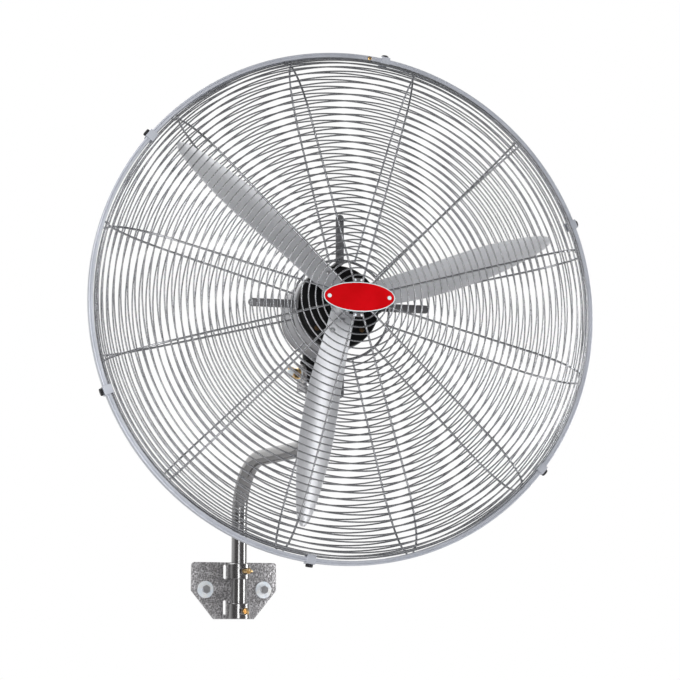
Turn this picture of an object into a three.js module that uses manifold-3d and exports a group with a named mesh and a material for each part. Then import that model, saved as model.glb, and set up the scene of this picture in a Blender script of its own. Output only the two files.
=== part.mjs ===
// Wall mounted fan: wire cage, three blades, motor on a tilting and swivelling neck,
// gooseneck pole, and a wall plate whose two collars hold the pole.
// Millimetres, +Z up. The wall is the plane y = 0, the fan stands out towards -Y.
import * as THREE from 'three';
import { mergeVertices } from 'three/addons/utils/BufferGeometryUtils.js';
import Module from 'manifold-3d';

const wasm = await Module();
wasm.setup();

// ---- driving dimensions ------------------------------------------------------------
const GAP = 0.3;                  // clearance between pieces that touch
const OVER = 1;                   // how far a cutting tool runs past what it cuts
const PLATE = { width: 165, rise: 49, drop: 53, thick: 5, foot: 78, corner: 6, shoulder: -2 };
const SLOT = { width: 6, height: 26, x: 18.4, z: 32 };
const BOLT = { inset: 26, radius: 4, flats: 13, head: 5.5, washer: 15.5, washerThick: 2.5 };
const COLLAR = { upper: 32, lower: -39, radius: 21, height: 28, foot: 28, footDepth: 6,
  footInset: 2, boss: 7, bossReach: 30 };
const THUMB = { radius: 3.6, neck: 5.2, neckLength: 3, paddle: 13, paddleThick: 3.2 };
const THUMB_POSE = { upper: { out: 14, turn: 20 }, lower: { out: 1, turn: 70 } };
const POLE = { radius: 14, wall: 2, out: 27, reach: 335, run: 230, bend: 100, rise: 70 };
const TILT = { z: 350, lug: 15, halfWidth: 22, cheek: 5, bolt: 5, drop: 24, bridge: 6,
  sleeve: 18, sleeveWall: 3, tongue: 12, flange: 26, flangeThick: 4.5, flangeRise: 2.5 };
const TILT_BOLT = { tail: 22, head: 9.8, headThick: 6.7, washer: 11, washerThick: 2 };
const WING = { collar: 8.5, collarThick: 5, body: 7.5, length: 12, root: 5.5, span: 21,
  tipWidth: 9, thick: 3, turn: 35 };
const FAN_Z = 437.4;              // height of the fan axis above the wall bolts
const HEAD_TURN = -11;            // degrees that the head is turned on its neck
const WHEEL_AHEAD = 214;          // blade plane ahead of the swivel post
const GUARD = { ahead: 6, drop: 7.4 };   // the guard hangs a little below the shaft
const RIM = { radius: 405, flange: 10.5, half: 8, wall: 1.6 };
const WIRE = { ring: 1.6, spoke: 1.6, rear: 2.2, spokes: 12, front: 15, back: 13.8 };
const CAGE = { front: 67, rear: 50, shoulder: 115, inset: 3.1, hook: 4, pitch: 66,
  frontRing: 24, rearRing: 80, shoulderSteps: 4 };
const CLIP = { phase: 21.4, count: 6, width: 14, thick: 2, lap: 12, screw: 2, head: 4.6, headThick: 4.2 };
const JOINT_SCREW = { angle: 85.2, inset: 5, shank: 1.5, head: 3.2, headThick: 1.9, length: 2.4 };
const BLADE = { count: 3, phase: 20.2, thick: 2.4, rootPitch: -16.2, tipPitch: -6.7, clear: 46,
  root: 20, flat: 62, dish: 5, sections: 8 };
const RIVET = { radius: 3, inner: 32, innerZ: -2, outer: 50, outerZ: -14, reach: 8 };
const HUB = { boss: 17, front: -14, back: 38, arm: 58, armWidth: 28, armThick: 5, armZ: -8,
  nut: 12.5, nutThick: 9.7 };
const SHAFT = { radius: 7, front: -30, back: 175 };
const MOTOR = { shield: 66.5, casing: 67.5, wall: 4.5, face: 50, seam: 70, back: 174,
  rimRise: 6, plate: 4.5, bearingBoss: 10, screwCircle: 52, screw: 2.5, screwHead: 4.4 };
const BEARING = { radius: 17.5, width: 10, wall: 4.5 };
const STATOR = { bore: 42, front: 84, back: 158, coil: 5, coilOut: 57, coilEnd: 10, coilTaper: 3 };
const ROTOR = { radius: 36, hub: 30, taper: 4 };
const NECK = { radius: 42, wall: 4, back: 246, socket: 22, post: 11, drop: 10, postEnd: 9,
  nut: 19, nutThick: 7.7, floor: 3, lip: 6, flare: 5, flareAt: 12, neckAt: 20, wallAt: 14 };
const COVER = { plug: 4, lip: 3, bevel: 6 };
const CAPACITOR = { radius: 14.5, z: 16, tab: 6, tabHalf: 3 };
const GLAND = { radius: 6.5, x: 30, y: 229, reach: 10, bore: 3.5, nut: 10, nutThick: 10.5, stand: 6 };
const ARM = { reach: 148, width: 13, thick: 3, foot: 44 };
const BADGE = { width: 112, height: 46, thick: 1.6, face: -72, stud: 47, studHead: 3.2, studRise: 1.2,
  pin: 1.6, pinBack: -62 };
const BACKING = { thick: 1.7, halfLength: 52, halfHeight: 30, halfBar: 5, halfPost: 8 };
const FACETS = { large: 40, round: 20, bore: 16, small: 12, tiny: 8, hex: 6 };

const poleY = -POLE.out;
const neckY = poleY - POLE.reach;
const plateFront = -PLATE.thick;
const boltX = PLATE.width / 2 - BOLT.inset;
const poleTop = TILT.z - 2 * TILT.lug;
const rimLip = RIM.radius - RIM.flange;
const bladeTip = RIM.radius - BLADE.clear;
const armSeat = CAGE.rear + WIRE.ring + GAP - GUARD.ahead;
const bearingSeat = BEARING.radius + GAP;
const casingIn = MOTOR.casing - MOTOR.wall;
const casingEnd = MOTOR.back;

// ---- materials ----------------------------------------------------------------------
const finish = (color, roughness, metalness) =>
  new THREE.MeshStandardMaterial({ color, roughness, metalness });
const LOOK = {
  hammered: [0x3c3c3f, 0.55, 0.4],
  black: [0x16161a, 0.5, 0.3],
  zinc: [0xc8ccd2, 0.35, 0.9],
  brass: [0xc99a55, 0.35, 0.9],
  chrome: [0xb4b6bc, 0.25, 0.95],
  aluminium: [0xa9aab0, 0.5, 0.6],
  greyPaint: [0x9b9da3, 0.5, 0.3],
  steel: [0x8a8c90, 0.4, 0.9],
  copper: [0xb06a3a, 0.5, 0.8],
  red: [0xd01018, 0.35, 0.1],
  plastic: [0x2a2a2c, 0.6, 0],
};

// ---- geometry helpers ----------------------------------------------------------------
function welded(geometry) {
  const bare = geometry.clone();
  bare.deleteAttribute('normal');
  bare.deleteAttribute('uv');
  return mergeVertices(bare, 1e-4);
}

// Turns the faces outwards and drops the faces without area.
function outward(geometry) {
  const g = welded(geometry);
  const p = g.attributes.position;
  const index = [];
  let volume = 0;
  const a = new THREE.Vector3();
  const b = new THREE.Vector3();
  const c = new THREE.Vector3();
  for (let i = 0; i < g.index.count; i += 3) {
    const [i0, i1, i2] = [g.index.getX(i), g.index.getX(i + 1), g.index.getX(i + 2)];
    if (i0 === i1 || i1 === i2 || i2 === i0) continue;
    a.fromBufferAttribute(p, i0);
    b.fromBufferAttribute(p, i1);
    c.fromBufferAttribute(p, i2);
    volume += a.dot(b.cross(c));
    index.push(i0, i1, i2);
  }
  if (volume < 0) {
    for (let i = 0; i < index.length; i += 3) [index[i], index[i + 1]] = [index[i + 1], index[i]];
  }
  g.setIndex(index);
  return g;
}

function toSolid(geometry) {
  const g = outward(geometry);
  return new wasm.Manifold(new wasm.Mesh({
    numProp: 3,
    vertProperties: new Float32Array(g.attributes.position.array),
    triVerts: new Uint32Array(g.index.array),
  }));
}

function fromSolid(solid) {
  const m = solid.getMesh();
  const g = new THREE.BufferGeometry();
  g.setAttribute('position', new THREE.BufferAttribute(new Float32Array(m.vertProperties), 3));
  g.setIndex(new THREE.BufferAttribute(new Uint32Array(m.triVerts), 1));
  return g;
}

function indexed(positions, index) {
  const g = new THREE.BufferGeometry();
  g.setAttribute('position', new THREE.Float32BufferAttribute(positions, 3));
  g.setIndex(index);
  return g;
}

const joined = (first, ...rest) =>
  fromSolid(rest.reduce((sum, g) => sum.add(toSolid(g)), toSolid(first)));
const cut = (body, ...tools) =>
  fromSolid(tools.reduce((left, g) => left.subtract(toSolid(g)), toSolid(body)));

const box = (x0, x1, y0, y1, z0, z1) =>
  new THREE.BoxGeometry(x1 - x0, y1 - y0, z1 - z0)
    .translate((x0 + x1) / 2, (y0 + y1) / 2, (z0 + z1) / 2);

// Cylinders between two values of one axis, centred on the other two.
const rodY = (radius, y0, y1, x, z, sides) =>
  new THREE.CylinderGeometry(radius, radius, y1 - y0, sides).translate(x, (y0 + y1) / 2, z);
const rodX = (radius, x0, x1, y, z, sides) =>
  new THREE.CylinderGeometry(radius, radius, x1 - x0, sides)
    .rotateZ(Math.PI / 2).translate((x0 + x1) / 2, y, z);
const rodZ = (radius, z0, z1, x, y, sides) =>
  new THREE.CylinderGeometry(radius, radius, z1 - z0, sides)
    .rotateX(Math.PI / 2).translate(x, y, (z0 + z1) / 2);

// Revolves [radius, y] points about the Y axis.
const revolve = (points, sides) =>
  new THREE.LatheGeometry(points.map(([r, y]) => new THREE.Vector2(r, y)), sides);
const closed = (points) => [...points, points[0]];

const rad = THREE.MathUtils.degToRad;

// ---- scene graph -----------------------------------------------------------------------
const fan = new THREE.Group();
const head = new THREE.Group();
head.position.set(0, neckY, FAN_Z);
head.rotation.z = rad(HEAD_TURN);
fan.add(head);

// Inside the wheel group the Y axis is the fan axis and y = 0 is the blade plane. Inside
// the guard group y = 0 is the rim plane.
const wheel = new THREE.Group();
wheel.position.set(0, -WHEEL_AHEAD, 0);
head.add(wheel);
const guard = new THREE.Group();
guard.position.set(0, -GUARD.ahead, -GUARD.drop);
wheel.add(guard);

function place(group, name, look, geometry) {
  const mesh = new THREE.Mesh(outward(geometry), finish(...LOOK[look]));
  mesh.name = name;
  group.add(mesh);
}

// ---- wall plate and its fasteners ---------------------------------------------------------
function plateOutline() {
  const half = PLATE.width / 2;
  const top = PLATE.rise;
  const s = new THREE.Shape();
  s.moveTo(-PLATE.foot / 2, -PLATE.drop);
  s.lineTo(PLATE.foot / 2, -PLATE.drop);
  s.lineTo(half, PLATE.shoulder);
  s.lineTo(half, top - PLATE.corner);
  s.quadraticCurveTo(half, top, half - PLATE.corner, top);
  s.lineTo(-half + PLATE.corner, top);
  s.quadraticCurveTo(-half, top, -half, top - PLATE.corner);
  s.lineTo(-half, PLATE.shoulder);
  s.closePath();
  return s;
}

function slotHole(x, z) {
  const r = SLOT.width / 2;
  const reach = SLOT.height / 2 - r;
  const hole = new THREE.Path();
  hole.absarc(x, z + reach, r, 0, Math.PI, false);
  hole.absarc(x, z - reach, r, Math.PI, 2 * Math.PI, false);
  hole.closePath();
  return hole;
}

function wallPlate() {
  const outline = plateOutline();
  for (const side of [-1, 1]) {
    for (const level of [-1, 1]) outline.holes.push(slotHole(side * SLOT.x, level * SLOT.z));
    const bore = new THREE.Path();
    bore.absarc(side * boltX, 0, BOLT.radius + GAP, 0, 2 * Math.PI, false);
    outline.holes.push(bore);
  }
  const slab = new THREE.ExtrudeGeometry(outline, {
    depth: PLATE.thick, bevelEnabled: false, curveSegments: 4,
  });
  return slab.rotateX(Math.PI / 2);
}
place(fan, 'wall_plate', 'hammered', wallPlate());

[['left', -1], ['right', 1]].forEach(([side, sign]) => {
  const x = sign * boltX;
  const seat = plateFront - GAP;
  const washerFront = seat - BOLT.washerThick;
  place(fan, `washer_${side}`, 'zinc', cut(
    rodY(BOLT.washer, washerFront, seat, x, 0, FACETS.round),
    rodY(BOLT.radius + GAP, washerFront - OVER, seat + OVER, x, 0, FACETS.small),
  ));
  const headBack = washerFront - GAP;
  place(fan, `wall_bolt_${side}`, 'zinc', joined(
    rodY(BOLT.flats / Math.sqrt(3), headBack - BOLT.head, headBack, x, 0, FACETS.hex),
    rodY(BOLT.radius, headBack - OVER, -GAP, x, 0, FACETS.small),
  ));
});

// ---- collars and thumbscrews ---------------------------------------------------------------
function collar(z) {
  const low = z - COLLAR.height / 2;
  const high = z + COLLAR.height / 2;
  const half = COLLAR.foot / 2;
  const shell = joined(
    rodZ(COLLAR.radius, low, high, 0, poleY, FACETS.round),
    rodY(COLLAR.boss, poleY - COLLAR.bossReach, poleY, 0, z, FACETS.small),
    box(-half, half, poleY + COLLAR.radius - COLLAR.footDepth, plateFront - GAP,
      low + COLLAR.footInset, high - COLLAR.footInset),
  );
  return cut(
    shell,
    rodZ(POLE.radius + GAP, low - OVER, high + OVER, 0, poleY, FACETS.round),
    rodY(THUMB.radius + GAP, poleY - COLLAR.bossReach - OVER, poleY, 0, z, FACETS.tiny),
  );
}

// A stepped screw with a flat paddle at its end. `out` is how far it is unscrewed.
function thumbscrew(z, { out, turn }) {
  const tip = poleY - POLE.radius - GAP;
  const neck = poleY - COLLAR.bossReach - GAP - out;
  const r = THUMB.paddle / 2;
  const paddle = new THREE.Shape();
  paddle.absarc(0, 0, r, 0, 2 * Math.PI, false);
  const disc = new THREE.ExtrudeGeometry(paddle, {
    depth: THUMB.paddleThick, bevelEnabled: false, curveSegments: 7,
  });
  disc.translate(0, 0, -THUMB.paddleThick / 2).rotateY(rad(turn)).translate(0, neck - r, z);
  return joined(
    rodY(THUMB.radius, neck - THUMB.neckLength, tip, 0, z, FACETS.tiny),
    rodY(THUMB.neck, neck - THUMB.neckLength, neck, 0, z, FACETS.small),
    disc,
  );
}
for (const level of ['upper', 'lower']) {
  place(fan, `${level}_collar`, 'hammered', collar(COLLAR[level]));
  place(fan, `${level}_thumbscrew`, 'brass', thumbscrew(COLLAR[level], THUMB_POSE[level]));
}

// ---- gooseneck pole -------------------------------------------------------------------------
function polePath() {
  const path = new THREE.CurvePath();
  const at = (y, z) => new THREE.Vector3(0, y, z);
  const line = (a, b) => path.add(new THREE.LineCurve3(a, b));
  const bend = (a, corner, b) => {
    // a quarter circle as a cubic with the usual handle length
    const k = 0.5523;
    path.add(new THREE.CubicBezierCurve3(a, a.clone().lerp(corner, k), b.clone().lerp(corner, k), b));
  };
  line(at(poleY, -PLATE.drop), at(poleY, POLE.run - POLE.bend));
  bend(at(poleY, POLE.run - POLE.bend), at(poleY, POLE.run), at(poleY - POLE.bend, POLE.run));
  line(at(poleY - POLE.bend, POLE.run), at(neckY + POLE.rise, POLE.run));
  bend(at(neckY + POLE.rise, POLE.run), at(neckY, POLE.run), at(neckY, POLE.run + POLE.rise));
  line(at(neckY, POLE.run + POLE.rise), at(neckY, poleTop));
  return path;
}

// Sweeps a ring section along the pole; straight runs need only their two ends.
function sweptTube(path, outer, inner, sides) {
  const frames = [];
  path.curves.forEach((curve, n) => {
    const steps = curve.isLineCurve3 ? 1 : 6;
    for (let i = n === 0 ? 0 : 1; i <= steps; i += 1) {
      frames.push([curve.getPoint(i / steps), curve.getTangent(i / steps)]);
    }
  });
  const side = new THREE.Vector3(1, 0, 0);
  const loops = frames.map(([p, tangent]) => {
    const across = new THREE.Vector3().crossVectors(tangent, side).normalize();
    return (radius) => Array.from({ length: sides }, (_, k) => {
      const angle = (2 * Math.PI * k) / sides;
      return p.clone().addScaledVector(side, radius * Math.cos(angle))
        .addScaledVector(across, radius * Math.sin(angle));
    });
  });
  const outside = loops.map((loop) => loop(outer));
  const inside = loops.map((loop) => loop(inner)).reverse();
  return stitched([...outside, ...inside], true);
}

// Joins loops of equal length into one skin; a ring of loops closes on itself.
function stitched(loops, ring) {
  const count = loops[0].length;
  const positions = loops.flat().flatMap((v) => [v.x, v.y, v.z]);
  const index = [];
  const spans = ring ? loops.length : loops.length - 1;
  for (let j = 0; j < spans; j += 1) {
    for (let k = 0; k < count; k += 1) {
      const a = j * count + k;
      const b = j * count + ((k + 1) % count);
      const next = ((j + 1) % loops.length) * count;
      const c = next + ((k + 1) % count);
      const d = next + k;
      index.push(a, b, c, a, c, d);
    }
  }
  if (!ring) {
    const last = (loops.length - 1) * count;
    for (let k = 1; k < count - 1; k += 1) {
      index.push(0, k + 1, k, last, last + k, last + k + 1);
    }
  }
  return indexed(positions, index);
}
place(fan, 'pole_tube', 'black', sweptTube(polePath(), POLE.radius, POLE.radius - POLE.wall, 14));

// ---- tilt fork, knuckle, bolt and wing nut -----------------------------------------------------
const forkBase = TILT.z - TILT.drop;
const bridgeMiddle = forkBase - TILT.bridge / 2;
const cheekIn = TILT.halfWidth + GAP;
const cheekOut = cheekIn + TILT.cheek;
const tiltBore = (reach) => rodX(TILT.bolt + GAP, -reach, reach, neckY, TILT.z, FACETS.small);

function tiltFork() {
  const cheek = (x0, x1) => joined(
    rodX(TILT.lug, x0, x1, neckY, TILT.z, FACETS.round),
    box(x0, x1, neckY - TILT.lug, neckY + TILT.lug, bridgeMiddle, TILT.z),
  );
  const sleeveLow = forkBase - TILT.sleeve;
  const body = joined(
    rodZ(POLE.radius + TILT.sleeveWall, sleeveLow, bridgeMiddle, 0, neckY, FACETS.round),
    box(-cheekOut, cheekOut, neckY - TILT.lug, neckY + TILT.lug, forkBase - TILT.bridge, forkBase),
    cheek(-cheekOut, -cheekIn),
    cheek(cheekIn, cheekOut),
  );
  return cut(
    body,
    rodZ(POLE.radius + GAP, sleeveLow - OVER, poleTop + GAP, 0, neckY, FACETS.round),
    tiltBore(cheekOut + OVER),
  );
}
place(fan, 'tilt_fork', 'black', tiltFork());

const flangeLow = TILT.z + TILT.lug + TILT.flangeRise;
const flangeHigh = flangeLow + TILT.flangeThick;
const socketTop = FAN_Z - NECK.radius + NECK.drop;
function tiltKnuckle() {
  const t = TILT.tongue;
  const body = joined(
    rodX(TILT.lug - OVER, -TILT.halfWidth, TILT.halfWidth, neckY, TILT.z, FACETS.round),
    box(-TILT.halfWidth, TILT.halfWidth, neckY - t, neckY + t, TILT.z, flangeLow + OVER),
    rodZ(TILT.flange, flangeLow, flangeHigh, 0, neckY, FACETS.round),
    rodZ(NECK.post, flangeHigh - OVER, socketTop + NECK.postEnd, 0, neckY, FACETS.bore),
  );
  return cut(body, tiltBore(cheekOut));
}
place(fan, 'tilt_knuckle', 'hammered', tiltKnuckle());

place(fan, 'tilt_bolt', 'zinc', joined(
  rodX(TILT.bolt, -cheekOut - TILT_BOLT.tail, cheekOut + 2 * OVER, neckY, TILT.z, FACETS.bore),
  rodX(TILT_BOLT.head, cheekOut + GAP, cheekOut + GAP + TILT_BOLT.headThick, neckY, TILT.z, FACETS.hex),
));
const washerFace = -cheekOut - GAP;
const washerOut = washerFace - TILT_BOLT.washerThick;
place(fan, 'tilt_washer', 'zinc', cut(
  rodX(TILT_BOLT.washer, washerOut, washerFace, neckY, TILT.z, FACETS.round),
  tiltBore(-washerOut + OVER),
));

function wingNut() {
  const seat = washerOut - GAP;
  const { span, root, tipWidth } = WING;
  const wing = new THREE.Shape();
  wing.moveTo(0, root);
  wing.lineTo(0.4 * span, root);
  wing.bezierCurveTo(0.7 * span, tipWidth, 1.05 * span, tipWidth, 0.95 * span, 0);
  wing.bezierCurveTo(0.9 * span, -root, 0.6 * span, -root, 0, -root);
  wing.closePath();
  const leaf = (turn) => new THREE.ExtrudeGeometry(wing, {
    depth: WING.thick, bevelEnabled: false, curveSegments: 4,
  }).translate(0, 0, -WING.thick / 2).rotateZ(Math.PI / 2).rotateX(rad(turn))
    .translate(seat - 0.6 * WING.length, neckY, TILT.z);
  const body = joined(
    rodX(WING.collar, seat - WING.collarThick, seat, neckY, TILT.z, FACETS.small),
    rodX(WING.body, seat - WING.length, seat - WING.collarThick + OVER, neckY, TILT.z, FACETS.small),
    leaf(WING.turn),
    leaf(WING.turn + 180),
  );
  return cut(body, tiltBore(WING.length - seat + OVER));
}
place(fan, 'tilt_wing_nut', 'brass', wingNut());

// ---- neck housing behind the motor: swivel socket, cover, capacitor, cord gland -------------------
const toWheel = (z) => z - FAN_Z;          // heights in the wheel group
const postY = WHEEL_AHEAD;                   // the swivel post in the wheel group
const neckIn = NECK.radius - NECK.wall;

function neckHousing() {
  const bearingBack = casingEnd - BEARING.width - OVER;
  const bearingOut = bearingSeat + BEARING.wall;
  const end = casingEnd + NECK.floor;
  const shell = revolve([
    [0, end], [bearingSeat, end], [bearingSeat, bearingBack], [bearingOut, bearingBack],
    [bearingOut, casingEnd + GAP], [MOTOR.casing, casingEnd + GAP], [MOTOR.casing, casingEnd + NECK.lip],
    [NECK.radius + NECK.flare, casingEnd + NECK.flareAt], [NECK.radius, casingEnd + NECK.neckAt],
    [NECK.radius, NECK.back], [neckIn, NECK.back], [neckIn, casingEnd + NECK.wallAt],
    [0, casingEnd + NECK.wallAt],
  ], FACETS.round);
  const socket = rodZ(NECK.socket, toWheel(flangeHigh + GAP), toWheel(socketTop), 0, postY, FACETS.round);
  return cut(
    joined(shell, socket),
    rodZ(NECK.post + GAP, toWheel(flangeLow), toWheel(socketTop + OVER), 0, postY, FACETS.bore),
    rodZ(GLAND.radius + GAP, -NECK.radius - NECK.flare, -GLAND.reach, GLAND.x, GLAND.y, FACETS.small),
  );
}
place(wheel, 'neck_housing', 'black', neckHousing());
place(fan, 'swivel_nut', 'zinc', cut(
  rodZ(NECK.nut, socketTop + GAP, socketTop + GAP + NECK.nutThick, 0, neckY, FACETS.hex),
  rodZ(NECK.post + GAP, socketTop - OVER, socketTop + 2 * NECK.nutThick, 0, neckY, FACETS.bore),
));

const plugRadius = neckIn - GAP;
const coverBack = NECK.back + COVER.lip + COVER.bevel;
place(wheel, 'neck_cover', 'black', revolve([
  [0, NECK.back - COVER.plug], [plugRadius, NECK.back - COVER.plug],
  [plugRadius, NECK.back + GAP], [NECK.radius, NECK.back + GAP],
  [NECK.radius, NECK.back + COVER.lip], [NECK.radius - COVER.bevel, coverBack], [0, coverBack],
], FACETS.round));

const capacitorEnd = NECK.back - 3 * COVER.plug;
const { tab, tabHalf } = CAPACITOR;
place(wheel, 'run_capacitor', 'plastic', joined(
  rodY(CAPACITOR.radius, casingEnd + NECK.wallAt + OVER, capacitorEnd, 0, CAPACITOR.z, FACETS.bore),
  box(-tab, tab, capacitorEnd - OVER, capacitorEnd + COVER.plug + OVER,
    CAPACITOR.z - tabHalf, CAPACITOR.z + tabHalf),
));

const glandLow = -NECK.radius - GLAND.stand - NECK.floor;
place(wheel, 'cord_gland', 'plastic', cut(
  joined(
    rodZ(GLAND.radius, -NECK.radius - NECK.floor, -GLAND.reach - NECK.floor, GLAND.x, GLAND.y, FACETS.small),
    rodZ(GLAND.nut, glandLow, glandLow + GLAND.nutThick, GLAND.x, GLAND.y, FACETS.hex),
  ),
  rodZ(GLAND.bore, glandLow - OVER, -GLAND.reach, GLAND.x, GLAND.y, FACETS.tiny),
));

// ---- motor -----------------------------------------------------------------------------------
const shieldScrews = ['upper_right', 'upper_left', 'lower_left', 'lower_right'].map((where, k) => {
  const a = rad(45 + 90 * k);
  return [where, MOTOR.screwCircle * Math.cos(a), MOTOR.screwCircle * Math.sin(a)];
});

function frontShield() {
  const f = MOTOR.face;
  const R = MOTOR.shield;
  const dish = MOTOR.rimRise;
  const bossOut = bearingSeat + BEARING.wall;
  const eye = SHAFT.radius + 5 * GAP;
  const shell = revolve(closed([
    [eye, f - dish], [BEARING.radius + MOTOR.screw, f - dish], [bossOut + OVER, f], [R - dish, f + OVER],
    [R, f + dish], [R, MOTOR.seam], [R - MOTOR.plate, MOTOR.seam], [R - MOTOR.plate, f + dish + MOTOR.screw],
    [R - dish - MOTOR.screw, f + MOTOR.plate], [bossOut + MOTOR.plate, f + MOTOR.plate],
    [bossOut, f + MOTOR.bearingBoss], [bearingSeat, f + MOTOR.bearingBoss],
    [bearingSeat, f - OVER], [eye, f - OVER],
  ]), FACETS.round);
  const holes = shieldScrews.map(([, x, z]) =>
    rodY(MOTOR.screw + GAP, f - 2 * OVER, f + dish + MOTOR.screw, x, z, FACETS.hex));
  return cut(shell, ...holes);
}
place(wheel, 'motor_front_shield', 'black', frontShield());
for (const [where, x, z] of shieldScrews) {
  place(wheel, `shield_screw_${where}`, 'brass', joined(
    rodY(MOTOR.screwHead, MOTOR.face - MOTOR.screw, MOTOR.face + GAP, x, z, FACETS.small),
    rodY(MOTOR.screw, MOTOR.face, MOTOR.seam - 2 * OVER, x, z, FACETS.hex),
  ));
}
place(wheel, 'motor_casing', 'greyPaint', revolve(closed([
  [casingIn, MOTOR.seam + GAP], [MOTOR.casing, MOTOR.seam + GAP],
  [MOTOR.casing, casingEnd], [casingIn, casingEnd],
]), FACETS.round));

const { bore, front: stackFront, back: stackBack } = STATOR;
place(wheel, 'stator_core', 'steel', revolve(closed([
  [bore, stackFront], [casingIn - GAP, stackFront], [casingIn - GAP, stackBack], [bore, stackBack],
]), FACETS.round));
const coilFace = [stackFront - 2 * GAP, stackBack + 2 * GAP];
const coilIn = bore - STATOR.coil;
const coilTop = STATOR.coilOut - STATOR.coilTaper;
place(wheel, 'stator_winding', 'copper', revolve(closed([
  [coilIn, coilFace[0] - STATOR.coilEnd], [coilTop, coilFace[0] - STATOR.coilEnd],
  [STATOR.coilOut, coilFace[0]], [bore - GAP, coilFace[0]], [bore - GAP, coilFace[1]],
  [STATOR.coilOut, coilFace[1]], [coilTop, coilFace[1] + STATOR.coilEnd],
  [coilIn, coilFace[1] + STATOR.coilEnd],
]), FACETS.round));

// ---- rotor: shaft, core, hub, blades ------------------------------------------------------------
const shaftBore = SHAFT.radius + GAP;
place(wheel, 'motor_shaft', 'steel', rodY(SHAFT.radius, SHAFT.front, SHAFT.back, 0, 0, FACETS.bore));
place(wheel, 'rotor_core', 'aluminium', revolve(closed([
  [shaftBore, stackFront], [ROTOR.hub, stackFront - ROTOR.taper], [ROTOR.radius, stackFront],
  [ROTOR.radius, stackBack], [ROTOR.hub, stackBack + ROTOR.taper], [shaftBore, stackBack],
]), FACETS.bore));
[['front', MOTOR.face - OVER + GAP], ['rear', casingEnd - BEARING.width]].forEach(([end, y]) => {
  place(wheel, `${end}_bearing`, 'steel', revolve(closed([
    [shaftBore, y], [BEARING.radius, y],
    [BEARING.radius, y + BEARING.width], [shaftBore, y + BEARING.width],
  ]), FACETS.round));
});

// The blade's trailing and leading edges off the radial line, as smooth curves through
// a few chosen points. Both numbers of a point are shares of the blade's tip radius.
const edgeCurve = (points) => new THREE.SplineCurve(
  points.map(([along, off]) => new THREE.Vector2(along * bladeTip, off * bladeTip)));
const TRAILING = edgeCurve([
  [0.056, 0.044], [0.17, 0.04], [0.39, 0.039], [0.65, 0.041], [0.845, 0.024], [0.958, 0.004], [1, -0.017],
]);
const LEADING = edgeCurve([
  [0.056, -0.06], [0.17, -0.072], [0.39, -0.099], [0.65, -0.101], [0.845, -0.079], [0.958, -0.056],
  [1, -0.035],
]);

function edgeAt(curve, r) {
  let low = 0;
  let high = 1;
  for (let i = 0; i < 30; i += 1) {
    const mid = (low + high) / 2;
    if (curve.getPoint(mid).x < r) low = mid;
    else high = mid;
  }
  return curve.getPoint((low + high) / 2).y;
}

// The root is flat out to BLADE.flat, where the blade starts to twist and to dish.
function bladeSection(r) {
  const lead = edgeAt(LEADING, r);
  const trail = edgeAt(TRAILING, r);
  const t = THREE.MathUtils.clamp((r - BLADE.flat) / (bladeTip - BLADE.flat), 0, 1);
  const pitch = rad(THREE.MathUtils.lerp(BLADE.rootPitch, BLADE.tipPitch, t));
  const widest = 0.14 * bladeTip;
  const camber = BLADE.dish * Math.min(1, t * 3) * ((trail - lead) / widest);
  const steps = 4;
  const row = (side) => Array.from({ length: steps }, (_, i) => {
    const f = i / (steps - 1);
    const across = THREE.MathUtils.lerp(lead, trail, f);
    const bow = camber * 4 * f * (1 - f);
    return new THREE.Vector3(r, across * Math.tan(pitch) + bow + (side * BLADE.thick) / 2, across);
  });
  return [...row(-1), ...row(1).reverse()];
}

// Sections lie closer together towards the rounded tip.
function bladeRadii() {
  const radii = [BLADE.root, BLADE.flat];
  for (let k = 1; k <= BLADE.sections; k += 1) {
    const left = 1 - k / BLADE.sections;
    radii.push(BLADE.flat + (bladeTip - BLADE.flat) * (1 - left * left));
  }
  return radii;
}

const onBladeFrame = (g, k) => g.rotateY(-rad(BLADE.phase + (360 / BLADE.count) * k));
const RIVETS = [[RIVET.inner, RIVET.innerZ], [RIVET.outer, RIVET.outerZ]];
const rootPitch = rad(BLADE.rootPitch);
const onRoot = (g, r, z) => g.rotateX(-rootPitch).translate(r, z * Math.tan(rootPitch), z);

function blade(k) {
  const skin = stitched(bladeRadii().map(bladeSection), false);
  const holes = RIVETS.map(([r, z]) =>
    onRoot(rodY(RIVET.radius + GAP, -RIVET.reach, RIVET.reach, 0, 0, FACETS.tiny), r, z));
  return onBladeFrame(cut(skin, ...holes), k);
}

function bladeHub() {
  const boss = revolve(closed([
    [shaftBore, HUB.front], [HUB.boss, HUB.front], [HUB.boss, HUB.back], [shaftBore, HUB.back],
  ]), FACETS.round);
  const below = BLADE.thick / 2 / Math.cos(rootPitch) + GAP;
  const half = HUB.armWidth / 2;
  const inside = HUB.boss - HUB.armThick;
  const arms = [];
  for (let k = 0; k < BLADE.count; k += 1) {
    const bar = onRoot(box(inside, HUB.arm, below, below + HUB.armThick, -half, half), 0, HUB.armZ);
    arms.push(onBladeFrame(bar, k));
    for (const [r, z] of RIVETS) {
      const rivet = rodY(RIVET.radius, -below - OVER, below + 2 * OVER, 0, 0, FACETS.tiny);
      arms.push(onBladeFrame(onRoot(rivet, r, z), k));
    }
  }
  return cut(
    joined(boss, ...arms),
    rodY(shaftBore, HUB.front - OVER, HUB.back + OVER, 0, 0, FACETS.bore),
  );
}
place(wheel, 'blade_hub', 'steel', bladeHub());
for (let k = 0; k < BLADE.count; k += 1) place(wheel, `blade_${k + 1}`, 'aluminium', blade(k));
place(wheel, 'hub_nut', 'zinc', cut(
  rodY(HUB.nut, HUB.front - GAP - HUB.nutThick, HUB.front - GAP, 0, 0, FACETS.hex),
  rodY(shaftBore, HUB.front - 2 * HUB.nutThick, HUB.front + OVER, 0, 0, FACETS.bore),
));

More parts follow.
